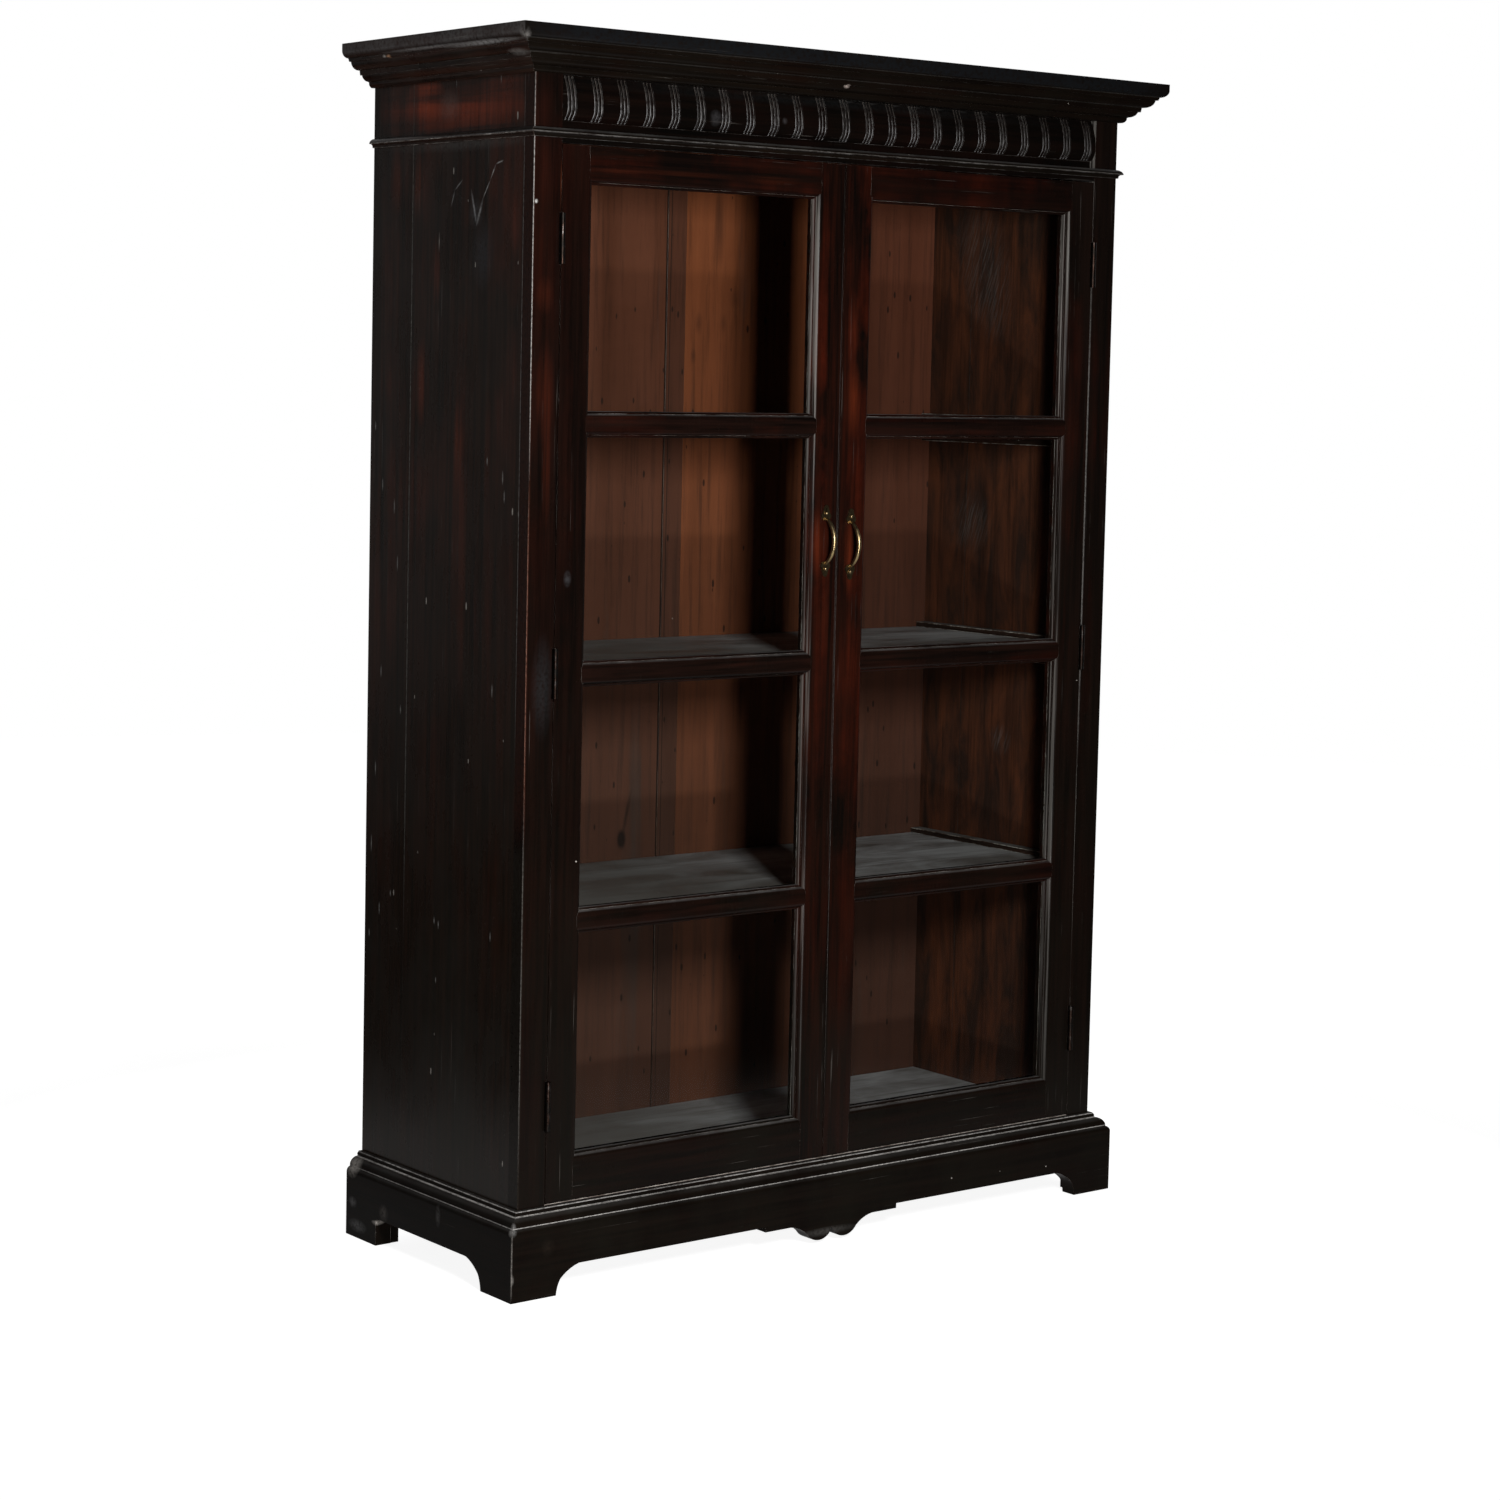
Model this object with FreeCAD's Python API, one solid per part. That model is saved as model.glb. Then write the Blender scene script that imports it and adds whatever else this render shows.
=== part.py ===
import FreeCAD, Part
import math
import os

# A free-standing cabinet with a pair of glazed doors, in millimetres.
# X runs along the front, Y from front to back, Z up; the origin is on the floor under the middle
# of the overall box.  While it is built, Y is measured from the carcass front.

# Carcass
carcass_width = 1200.0
carcass_depth = 450.0
carcass_underside = 60.0
side_thickness = 22.0
side_back_board_width = 117.0
face_frame_thickness = 25.0
face_stile_width = 50.0
bottom_board_thickness = 22.0
bottom_bearer_width = 22.0
bottom_bearer_height = 24.0
top_board_thickness = 20.0
back_thickness = 12.0
back_rebate_width = 10.0
back_muntin_width = 40.0
back_muntin_offset = -5.0
back_muntin_proud = 2.0

# Plinth with bracket feet and a double-lobed pendant
plinth_height = 111.0
plinth_shoulder_run = 6.0
plinth_shoulder_rise = 8.0
plinth_shoulder_swell = 0.15
foot_length = 83.0
back_foot_length = 91.0
back_foot_round = 5.0
foot_block_setback = 18.0
back_foot_block_width = 15.0
bracket_low_run = 7.5
bracket_low_rise = 24.5
bracket_high_run = 35.0
bracket_low_swell = -0.055
bracket_high_swell = -0.07
back_foot_swell = -0.2
apron_level = 44.5
pendant_half_width = 138.0
pendant_shoulder_half_width = 86.0
pendant_step = 8.0
lobe_half_width = 52.0
lobe_spring_level = 21.0
lobe_notch_half_width = 5.0
lobe_notch_foot = 16.0
lobe_notch_level = 27.0
pendant_swell = -0.08
lobe_swell = 0.235

# Mouldings, from the bottom up: form, run outwards and rise
plinth_moulding_head = 6.0
plinth_moulding = [
    ("flat", 0.0, 3.0),
    ("ovolo", -13.0, 11.5),
    ("flat", -1.5, 0.5),
    ("ovolo", -0.5, 5.5),
    ("flat", -1.5, 2.0),
]
necking_moulding = [
    ("flat", 3.0, 0.0),
    ("flat", 0.5, 3.5),
    ("cove", 5.0, 2.5),
    ("flat", 1.0, 1.0),
]
necking_return_rise = 7.5
cornice_moulding = [
    ("flat", 6.0, 0.0),
    ("ovolo", 5.0, 8.5),
    ("flat", 2.0, 1.0),
    ("ovolo", 11.0, 9.0),
    ("flat", 3.5, 0.0),
    ("flat", 1.0, 7.0),
    ("flat", 4.5, 0.5),
    ("ovolo", 11.5, 12.0),
    ("flat", 3.5, 0.5),
    ("flat", 1.5, 4.5),
    ("flat", 2.5, 0.5),
    ("ovolo", 9.0, 10.5),
    ("flat", 0.0, 11.5),
]
# Swell of a curve as a share of its chord, hollow where it is negative
curve_swell = {"ovolo": 0.17, "cove": -0.17}

# Frieze rail with a swelled face and groups of three flutes
head_reveal = 7.5
frieze_height = 79.5
frieze_fillet = 12.0
frieze_swell = 12.5
frieze_crown_rise = 20.0
flute_width = 3.2
flute_depth = 1.8
flute_spacing = 6.4
flute_group_pitch = 48.4
flute_end_margin = 1.5
flute_side_margin = 8.0
flutes_per_group = 3

# Doors
hinge_stile_width = 50.0
left_meeting_stile_width = 47.0
right_meeting_stile_width = 53.0
top_rail_width = 47.0
bottom_rail_width = 62.0
bar_width = 20.0
pane_rows = 4
pane_height = 358.75
sticking_ovolo = 6.0
sticking_quirk = 1.5
sticking_bead = 2.5
sticking_land = 3.0
sticking_ovolo_swell = 0.18
sticking_bead_swell = 0.2
glass_thickness = 3.0
glass_edge_clearance = 1.0
glazing_bead_width = 9.0
tenon_length = 22.0
tenon_thickness = 8.0
tenon_shoulder = 4.0
door_side_gap = 1.5
door_meeting_gap = 2.0
door_foot_gap = 1.5
door_head_gap = 2.0
floor_reveal = 2.0
door_stop_gap = 1.0
door_stop_width = 60.0
door_stop_thickness = 12.0
door_stop_lap = 15.0
door_stop_spread = 120.0

# Shelves
shelf_thickness = 20.0
shelf_rise_over_bar = 6.0
shelf_front_gap = 4.0
cleat_width = 20.0
cleat_height = 20.0
end_strip_width = 22.0
end_strip_height = 9.0

# Butt hinges: distances of the hinge middles from the door foot, middle and head
hinge_foot_distance = 151.0
hinge_middle_rise = 11.0
hinge_head_distance = 139.0
hinge_height = 76.0
hinge_leaf_back_margin = 4.0
hinge_leaf_thickness = 2.0
hinge_knuckle_radius = 4.5
hinge_pin_radius = 2.25
hinge_pin_proud = 3.5
hinge_knuckles = 5
hinge_knuckle_gap = 0.4
hinge_running_clearance = 0.05
hinge_wood_relief = 0.4
hinge_screw_rows = 3
hinge_screw_margin = 13.0
hinge_screw_inset = 7.0

# Wood screws
screw_shank_radius = 1.8
screw_head_radius = 3.5
screw_length = 16.0
screw_clearance = 0.1

# Bow handles: rise of the handle middles over the middle glazing bar
left_handle_rise = 195.5
right_handle_rise = 189.5
handle_bow_half_height = 37.0
handle_bow_reach = 23.0
handle_rod_radius = 3.6
handle_rod_end_radius = 2.5
handle_plate_thickness = 2.0
handle_plate_half_width = 10.0
handle_plate_shoulder = 8.0
handle_plate_length = 24.0
handle_plate_tip_half_width = 4.5
handle_plate_shoulder_swell = 0.26
handle_plate_flank_swell = -0.06
handle_plate_tip_swell = 0.42
handle_screw_gap = 0.5

cut_margin = 5.0


def vec(x, y, z):
    return FreeCAD.Vector(x, y, z)


def box(x, y, z):
    """Block between a pair of limits along each axis."""
    return Part.makeBox(x[1] - x[0], y[1] - y[0], z[1] - z[0], vec(x[0], y[0], z[0]))


def one_solid(shape):
    """The clean single solid that a cut or a join leaves."""
    return shape.removeSplitter().Solids[0]


def mirrored(shape):
    """The same piece on the other side of the middle plane."""
    return shape.mirror(vec(0, 0, 0), vec(1, 0, 0))


def both_sides(shape):
    return [shape, mirrored(shape)]


def bow(start, end, swell):
    """Arc step from start to end, swelling to the right by a share of its chord."""
    run = end[0] - start[0]
    rise = end[1] - start[1]
    middle = ((start[0] + end[0]) / 2 + swell * rise, (start[1] + end[1]) / 2 - swell * run)
    return (middle, end)


def outline_face(path, place):
    """Flat face round a closed path of points and of (through, end) arc steps."""
    edges = []
    here = path[0]
    for step in path[1:] + [path[0]]:
        if isinstance(step[0], tuple):
            through, end = step
            edges.append(Part.Arc(place(*here), place(*through), place(*end)).toShape())
            here = end
        elif step != here:
            edges.append(Part.LineSegment(place(*here), place(*step)).toShape())
            here = step
    return Part.Face(Part.Wire(edges))


def plan_prism(points, bottom, top):
    """Upright prism over a plan outline."""
    face = outline_face(points, lambda x, y: vec(x, y, bottom))
    return face.extrude(vec(0, 0, top - bottom))


def moulding_run(members):
    return sum(run for form, run, rise in members)


def moulding_height(members):
    return sum(rise for form, run, rise in members)


def moulding_path(start, level, members):
    """Section of a moulding: projection and height, from its back lower corner round to its top."""
    path = [(0.0, level)]
    if start > 0:
        path.append((start, level))
    here = (start, level)
    for form, run, rise in members:
        end = (here[0] + run, here[1] + rise)
        path.append(bow(here, end, curve_swell[form]) if form in curve_swell else end)
        here = end
    if here[0] > flat_tolerance:
        path.append((0.0, here[1]))
    return path


flat_tolerance = 1e-6
half = carcass_width / 2
plinth_moulding_start = plinth_moulding_head - moulding_run(plinth_moulding)
plinth_projection = plinth_moulding_start + plinth_shoulder_run
necking_return = ("ovolo", -moulding_run(necking_moulding), necking_return_rise)
full_necking = necking_moulding + [necking_return]
cornice_projection = moulding_run(cornice_moulding)

# Levels
floor_level = plinth_height + moulding_height(plinth_moulding) + floor_reveal
floor_underside = floor_level - bottom_board_thickness
door_foot = floor_level + door_foot_gap
glazing_foot = door_foot + bottom_rail_width
glazing_head = glazing_foot + pane_rows * pane_height + (pane_rows - 1) * bar_width
door_head = glazing_head + top_rail_width
frieze_rail_foot = door_head + door_head_gap
necking_level = frieze_rail_foot + head_reveal
frieze_level = necking_level + moulding_height(full_necking)
cornice_level = frieze_level + frieze_height
cabinet_top = cornice_level + moulding_height(cornice_moulding)
carcass_top = cabinet_top - top_board_thickness

# Plan positions
opening_half = half - face_stile_width
inner_half = half - side_thickness
back_face = carcass_depth - back_thickness
inner_back = back_face - back_muntin_proud
side_joint = carcass_depth - side_back_board_width
foot_inner = half + plinth_projection - foot_length
side_foot_inner = foot_length - plinth_projection
back_foot_inner = carcass_depth - back_foot_length
door_thickness = face_frame_thickness - door_stop_gap
door_width = opening_half - door_side_gap - door_meeting_gap / 2
door_hinge_edge = -opening_half + door_side_gap
hinge_axis_x = -opening_half + door_side_gap / 2
hinge_leaf_depth = door_thickness - hinge_leaf_back_margin
sticking_width = sticking_ovolo + sticking_quirk + sticking_bead
sticking_depth = sticking_width + sticking_land
origin_shift = vec(0, (cornice_projection - carcass_depth) / 2, 0)

nodes = {}


def bar_middle(row):
    """Level of the middle of a glazing bar, counted from the foot."""
    return glazing_foot + row * (pane_height + bar_width) - bar_width / 2


def mitred_run(path):
    """Front, left and right lengths of one section, mitred at the two front corners."""
    points = [step[1] if isinstance(step[0], tuple) else step for step in path]
    reach = max(point[0] for point in points) + cut_margin
    bottom = min(point[1] for point in points) - cut_margin
    top = max(point[1] for point in points) + cut_margin
    front_face = outline_face(path, lambda out, level: vec(-half - reach, -out, level))
    front_bar = front_face.extrude(vec(2 * (half + reach), 0, 0))
    corner = half + reach
    front_plan = [(-half, 0.0), (half, 0.0), (corner, -reach), (-corner, -reach)]
    side_face = outline_face(path, lambda out, level: vec(half + out, -reach, level))
    side_bar = side_face.extrude(vec(0, carcass_depth + reach, 0))
    side_plan = [(half, 0.0), (half, carcass_depth), (corner, carcass_depth), (corner, -reach)]
    front = one_solid(front_bar.common(plan_prism(front_plan, bottom, top)))
    right = one_solid(side_bar.common(plan_prism(side_plan, bottom, top)))
    return {"front": front, "left": mirrored(right), "right": right}


def bracket_steps(corner):
    """Two hollow arcs from the foot of a bracket up to the apron line."""
    cusp = (corner[0] + bracket_low_run, corner[1] + bracket_low_rise)
    head = (cusp[0] + bracket_high_run, apron_level)
    return [bow(corner, cusp, bracket_low_swell), bow(cusp, head, bracket_high_swell)]


def front_apron_cut():
    """Left half of the space below the front plinth board."""
    foot = (-foot_inner, 0.0)
    pendant_level = apron_level - pendant_step
    shoulder = (-pendant_shoulder_half_width, pendant_level)
    spring = (-lobe_half_width, lobe_spring_level)
    lobe_end = (-lobe_notch_half_width, lobe_notch_foot)
    path = [(-foot_inner, -cut_margin), foot]
    path += bracket_steps(foot)
    path += [
        (-pendant_half_width, apron_level),
        (-pendant_half_width, pendant_level),
        shoulder,
        bow(shoulder, spring, pendant_swell),
        bow(spring, lobe_end, lobe_swell),
        (0.0, lobe_notch_level),
        (0.0, -cut_margin),
    ]
    face = outline_face(path, lambda x, level: vec(x, -plinth_projection - cut_margin, level))
    return face.extrude(vec(0, plinth_projection + 2 * cut_margin, 0))


def side_apron_cut():
    """Space below the right plinth board, between its front bracket and its back foot."""
    foot = (side_foot_inner, 0.0)
    round_start = (back_foot_inner - back_foot_round, apron_level)
    round_end = (back_foot_inner, apron_level - back_foot_round)
    path = [(side_foot_inner, -cut_margin), foot]
    path += bracket_steps(foot)
    path += [round_start, bow(round_start, round_end, back_foot_swell)]
    path += [(back_foot_inner, -cut_margin)]
    face = outline_face(path, lambda y, level: vec(half - cut_margin, y, level))
    return face.extrude(vec(plinth_projection + 2 * cut_margin, 0, 0))


def plinth():
    shoulder = (plinth_projection, plinth_height - plinth_shoulder_rise)
    top_edge = (plinth_moulding_start, plinth_height)
    section = [(0.0, 0.0), (plinth_projection, 0.0), shoulder]
    section += [bow(shoulder, top_edge, plinth_shoulder_swell), (0.0, plinth_height)]
    boards = mitred_run(section)
    nodes["plinth_front"] = one_solid(boards["front"].cut(both_sides(front_apron_cut())))
    nodes["plinth_right"] = one_solid(boards["right"].cut(side_apron_cut()))
    nodes["plinth_left"] = mirrored(nodes["plinth_right"])
    front_block = box(
        (foot_inner + foot_block_setback, half),
        (0, face_frame_thickness),
        (0, carcass_underside),
    )
    back_block = box(
        (half - back_foot_block_width, half),
        (back_foot_inner, carcass_depth),
        (0, carcass_underside),
    )
    blocks = both_sides(front_block) + both_sides(back_block)
    nodes["foot_blocks"] = Part.makeCompound(blocks)
    trim = mitred_run(moulding_path(plinth_moulding_start, plinth_height, plinth_moulding))
    for place, piece in trim.items():
        nodes["plinth_moulding_" + place] = piece


def carcass_sides():
    height = (carcass_underside, carcass_top)
    front_board = box((inner_half, half), (face_frame_thickness, side_joint), height)
    back_board = box((inner_half, half), (side_joint, carcass_depth), height)
    rebate = box((inner_half, inner_half + back_rebate_width), (back_face, carcass_depth), height)
    back_board = one_solid(back_board.cut(rebate))
    nodes["side_front_board_right"] = front_board
    nodes["side_front_board_left"] = mirrored(front_board)
    nodes["side_back_board_right"] = back_board
    nodes["side_back_board_left"] = mirrored(back_board)


def carcass_floor_and_top():
    nodes["bottom_rail"] = box(
        (-opening_half, opening_half),
        (0, face_frame_thickness),
        (carcass_underside, floor_underside),
    )
    levels = (floor_underside, floor_level)
    front_edge = box((-opening_half, opening_half), (0, face_frame_thickness), levels)
    board = box((-inner_half, inner_half), (face_frame_thickness, inner_back), levels)
    nodes["bottom_board"] = one_solid(board.fuse(front_edge))
    bearer = box(
        (inner_half - bottom_bearer_width, inner_half),
        (face_frame_thickness, inner_back),
        (floor_underside - bottom_bearer_height, floor_underside),
    )
    nodes["bottom_bearers"] = Part.makeCompound(both_sides(bearer))
    nodes["top_board"] = box((-half, half), (0, carcass_depth), (carcass_top, cabinet_top))


def carcass_back():
    height = (carcass_underside, carcass_top)
    edge = inner_half + back_rebate_width
    muntin = (
        back_muntin_offset - back_muntin_width / 2,
        back_muntin_offset + back_muntin_width / 2,
    )
    left_joint = (muntin[0] - edge) / 2
    right_joint = (muntin[1] + edge) / 2
    boards = {
        "back_board_far_left": (-edge, left_joint),
        "back_board_left": (left_joint, muntin[0]),
        "back_board_right": (muntin[1], right_joint),
        "back_board_far_right": (right_joint, edge),
    }
    for name, limits in boards.items():
        nodes[name] = box(limits, (back_face, carcass_depth), height)
    nodes["back_muntin"] = box(muntin, (inner_back, carcass_depth), height)


def frieze_arc(rise, inset, level):
    """Points, by height over the crown, of the arc that falls back by the swell over a rise."""
    radius = (rise ** 2 + frieze_swell ** 2) / (2 * frieze_swell)

    def point(height):
        angle = math.asin(height / radius)
        inner = radius - inset
        return (radius - inner * math.cos(angle), level + inner * math.sin(angle))

    return point


def frieze_rail():
    swell_foot = frieze_level + frieze_fillet
    crown_level = swell_foot + frieze_crown_rise
    upper_rise = cornice_level - crown_level
    lower = frieze_arc(frieze_crown_rise, 0.0, crown_level)
    upper = frieze_arc(upper_rise, 0.0, crown_level)
    section = [
        (0.0, frieze_rail_foot),
        (0.0, frieze_level),
        (frieze_swell, frieze_level),
        (frieze_swell, swell_foot),
        (lower(-frieze_crown_rise / 2), lower(0.0)),
        (upper(upper_rise / 2), upper(upper_rise)),
        (0.0, cornice_level),
        (0.0, carcass_top),
        (face_frame_thickness, carcass_top),
        (face_frame_thickness, frieze_rail_foot),
    ]
    face = outline_face(section, lambda y, level: vec(-opening_half, y, level))
    rail = face.extrude(vec(2 * opening_half, 0, 0))

    flute_foot = frieze_crown_rise - flute_end_margin
    flute_head = upper_rise - flute_end_margin
    lower_floor = frieze_arc(frieze_crown_rise, flute_depth, crown_level)
    upper_floor = frieze_arc(upper_rise, flute_depth, crown_level)
    flute_section = [
        (-cut_margin, lower_floor(-flute_foot)[1]),
        lower_floor(-flute_foot),
        (lower_floor(-flute_foot / 2), lower_floor(0.0)),
        (upper_floor(flute_head / 2), upper_floor(flute_head)),
        (-cut_margin, upper_floor(flute_head)[1]),
    ]
    flute_face = outline_face(flute_section, lambda y, level: vec(-flute_width / 2, y, level))
    flute = flute_face.extrude(vec(flute_width, 0, 0))
    group_width = (flutes_per_group - 1) * flute_spacing + flute_width
    span = 2 * (opening_half - flute_side_margin) - group_width
    groups = int(span // flute_group_pitch) + 1
    flutes = []
    for group in range(groups):
        centre = (group - (groups - 1) / 2) * flute_group_pitch
        for number in range(flutes_per_group):
            offset = centre + (number - (flutes_per_group - 1) / 2) * flute_spacing
            flutes.append(flute.translated(vec(offset, 0, 0)))
    nodes["frieze_rail"] = one_solid(rail.cut(flutes))

    stop = box(
        (door_stop_spread - door_stop_width / 2, door_stop_spread + door_stop_width / 2),
        (face_frame_thickness, face_frame_thickness + door_stop_thickness),
        (door_head - door_stop_lap, frieze_rail_foot + door_stop_lap),
    )
    nodes["door_stops"] = Part.makeCompound(both_sides(stop))


def mouldings():
    for name, level, members in (
        ("necking", necking_level, full_necking),
        ("cornice", cornice_level, cornice_moulding),
    ):
        for place, piece in mitred_run(moulding_path(0.0, level, members)).items():
            nodes[name + "_" + place] = piece


def shelves():
    front = door_thickness + shelf_front_gap
    cleats = []
    strips = []
    for row in range(1, pane_rows):
        top = bar_middle(row) + shelf_rise_over_bar
        underside = top - shelf_thickness
        shelf = box((-inner_half, inner_half), (front, inner_back), (underside, top))
        nodes["shelf_" + str(row)] = shelf
        cleat_limits = (inner_half - cleat_width, inner_half)
        strip_limits = (inner_half - end_strip_width, inner_half)
        cleat = box(cleat_limits, (front, inner_back), (underside - cleat_height, underside))
        strip = box(strip_limits, (front, inner_back), (top, top + end_strip_height))
        cleats += both_sides(cleat)
        strips += both_sides(strip)
    nodes["shelf_cleats"] = Part.makeCompound(cleats)
    nodes["shelf_end_strips"] = Part.makeCompound(strips)


def hinge_cylinder(radius, start, end):
    """Upright cylinder on the left hinge line between two levels."""
    return Part.makeCylinder(radius, end - start, vec(hinge_axis_x, -hinge_pin_proud, start))


def screw(inset, grow):
    """Countersunk screw along X, its head in the plane x = 0 and its shank towards +X."""
    head = Part.makeCone(
        screw_head_radius + grow,
        screw_shank_radius + grow,
        hinge_leaf_thickness,
        vec(0, inset, 0),
        vec(1, 0, 0),
    )
    shank = Part.makeCylinder(screw_shank_radius + grow, screw_length, vec(0, inset, 0), vec(1, 0, 0))
    return one_solid(head.fuse(shank))


def hinges():
    """Left hinges; each returned list has one entry per hinge."""
    made = {"frame_leaves": [], "door_leaves": [], "pins": [], "relief": []}
    made.update({"frame_screws": [], "door_screws": [], "frame_holes": [], "door_holes": []})
    inset = hinge_leaf_depth - hinge_screw_inset
    screw_pitch = (hinge_height - 2 * hinge_screw_margin) / (hinge_screw_rows - 1)
    hinge_middles = [
        door_foot + hinge_foot_distance,
        (door_foot + door_head) / 2 + hinge_middle_rise,
        door_head - hinge_head_distance,
    ]
    for middle in hinge_middles:
        low = middle - hinge_height / 2
        high = low + hinge_height
        pitch = hinge_height / hinge_knuckles
        plates = {
            "frame": (-opening_half - hinge_leaf_thickness, -opening_half),
            "door": (door_hinge_edge, door_hinge_edge + hinge_leaf_thickness),
        }
        screws = {"frame": [], "door": []}
        holes = {"frame": [], "door": []}
        for row in range(hinge_screw_rows):
            height = low + hinge_screw_margin + row * screw_pitch
            for grow, group in ((0.0, screws), (screw_clearance, holes)):
                inward = screw(inset, grow)
                group["door"].append(inward.translated(vec(door_hinge_edge, 0, height)))
                group["frame"].append(mirrored(inward).translated(vec(-opening_half, 0, height)))
        bore = hinge_cylinder(hinge_pin_radius + hinge_running_clearance, low, high)
        for owner, first in (("frame", 0), ("door", 1)):
            plate = box(plates[owner], (-hinge_pin_proud, hinge_leaf_depth), (low, high))
            own = []
            others = [bore]
            for number in range(hinge_knuckles):
                start = low + number * pitch
                if number % 2 == first:
                    gap = hinge_knuckle_gap / 2
                    own.append(hinge_cylinder(hinge_knuckle_radius, start + gap, start + pitch - gap))
                else:
                    clear = hinge_knuckle_radius + hinge_wood_relief
                    others.append(hinge_cylinder(clear, start, start + pitch))
            leaf = plate.cut(others).fuse(own).cut([bore] + holes[owner])
            made[owner + "_leaves"].append(one_solid(leaf))
            made[owner + "_screws"] += screws[owner]
            made[owner + "_holes"] += holes[owner]
            made[owner + "_holes"].append(box(plates[owner], (0, hinge_leaf_depth), (low, high)))
        made["pins"].append(hinge_cylinder(hinge_pin_radius, low, high))
        relief = hinge_knuckle_radius + hinge_wood_relief
        made["relief"].append(hinge_cylinder(relief, low - hinge_wood_relief, high + hinge_wood_relief))
    return made


def face_stiles(hinge):
    stile = box((-half, -opening_half), (0, face_frame_thickness), (carcass_underside, carcass_top))
    stile = one_solid(stile.cut(hinge["frame_holes"] + hinge["relief"]))
    nodes["face_stile_left"] = stile
    nodes["face_stile_right"] = mirrored(stile)
    for group in ("frame_leaves", "frame_screws", "pins"):
        shapes = hinge[group] + [mirrored(shape) for shape in hinge[group]]
        nodes["hinge_" + group] = Part.makeCompound(shapes)


def sticking(edge):
    """Moulded glazing edge from the face back to the glass: an ovolo, a quirk and a bead."""
    ovolo_end = (edge + sticking_ovolo, sticking_ovolo)
    quirk_foot = (edge + sticking_ovolo, sticking_ovolo + sticking_quirk)
    bead_start = (edge + sticking_ovolo + sticking_quirk, sticking_ovolo + sticking_quirk)
    bead_end = (edge + sticking_width, bead_start[1] + sticking_bead)
    return [
        (edge, 0.0),
        bow((edge, 0.0), ovolo_end, sticking_ovolo_swell),
        quirk_foot,
        bead_start,
        bow(bead_start, bead_end, sticking_bead_swell),
        (edge + sticking_width, sticking_depth),
        (edge, sticking_depth),
        (edge, door_thickness),
    ]


def frame_section(width):
    """Section of a stile or rail: width across the door, then depth."""
    return [(0.0, 0.0)] + sticking(width) + [(0.0, door_thickness)]


def stile_shape(width, edge, turned):
    """Full-height stile with its outer edge at a place along X."""
    side = -1 if turned else 1
    face = outline_face(frame_section(width), lambda across, y: vec(edge + side * across, y, door_foot))
    return face.extrude(vec(0, 0, door_head - door_foot))


def rail_shape(width, edge, turned, limits):
    """Length of rail section with its outer edge at a level."""
    side = -1 if turned else 1
    face = outline_face(frame_section(width), lambda up, y: vec(limits[0], y, edge + side * up))
    return face.extrude(vec(limits[1] - limits[0], 0, 0))


def glazing_bar(level, limits):
    """Bar moulded on both edges, from two mirrored halves."""
    halves = [rail_shape(bar_width / 2, level, turned, limits) for turned in (False, True)]
    return one_solid(halves[0].fuse(halves[1]))


def handle(x, level):
    """Bow pull with a leaf-shaped plate at each end, and its two screws."""
    base = handle_bow_half_height - handle_rod_radius
    shoulder = base + handle_plate_shoulder
    tip = base + handle_plate_length
    wide = handle_plate_half_width
    narrow = handle_plate_tip_half_width
    tip_foot = tip - 2 * narrow * handle_plate_tip_swell
    plate_path = [
        (0.0, base),
        bow((0.0, base), (wide, shoulder), handle_plate_shoulder_swell),
        bow((wide, shoulder), (narrow, tip_foot), handle_plate_flank_swell),
        bow((narrow, tip_foot), (-narrow, tip_foot), handle_plate_tip_swell),
        bow((-narrow, tip_foot), (-wide, shoulder), handle_plate_flank_swell),
        bow((-wide, shoulder), (0.0, base), handle_plate_shoulder_swell),
    ]
    plate_face = outline_face(plate_path, lambda across, up: vec(across, 0, up))
    plate = plate_face.extrude(vec(0, -handle_plate_thickness, 0))
    lower_plate = plate.mirror(vec(0, 0, 0), vec(0, 0, 1))

    seat = -handle_plate_thickness / 2
    ends = [vec(0, seat, sign * handle_bow_half_height) for sign in (1, -1)]
    crown = vec(0, -handle_bow_reach, 0)
    arc = Part.Arc(ends[0], crown, ends[1]).toShape()
    middle = (arc.FirstParameter + arc.LastParameter) / 2
    rings = []
    for place, radius in (
        (arc.FirstParameter, handle_rod_end_radius),
        (middle, handle_rod_radius),
        (arc.LastParameter, handle_rod_end_radius),
    ):
        ring = Part.makeCircle(radius, arc.valueAt(place), arc.tangentAt(place))
        rings.append(Part.Wire(ring))
    rod = Part.Wire(arc).makePipeShell(rings, True, False)
    behind = box((-wide, wide), (0, handle_bow_reach), (-tip, tip))
    body = plate.fuse([lower_plate, rod]).cut(behind)

    rod_edge = handle_bow_half_height + handle_rod_radius
    screw_level = rod_edge + screw_head_radius + handle_screw_gap
    screws = []
    holes = []
    for sign in (1, -1):
        foot = vec(0, -handle_plate_thickness, sign * screw_level)
        for grow, group in ((0.0, screws), (screw_clearance, holes)):
            shank = Part.makeCylinder(screw_shank_radius + grow, screw_length, foot, vec(0, 1, 0))
            group.append(shank)
    heads = []
    for sign, shank in zip((1, -1), screws):
        centre = vec(0, -handle_plate_thickness, sign * screw_level)
        dome = Part.makeSphere(screw_head_radius, centre, vec(0, -1, 0), 0, 90, 360)
        heads.append(one_solid(dome.fuse(shank)))
    place = vec(x, 0, level)
    body = one_solid(body.cut(holes)).translated(place)
    screws = [head.translated(place) for head in heads]
    holes = [hole.translated(place) for hole in holes]
    return body, screws, holes


def tenons(limits, levels):
    """Stub tenons at both ends of a rail."""
    depth = ((door_thickness - tenon_thickness) / 2, (door_thickness + tenon_thickness) / 2)
    height = (levels[0] + tenon_shoulder, levels[1] - tenon_shoulder)
    return [
        box((limits[0] - tenon_length, limits[0]), depth, height),
        box((limits[1], limits[1] + tenon_length), depth, height),
    ]


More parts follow.
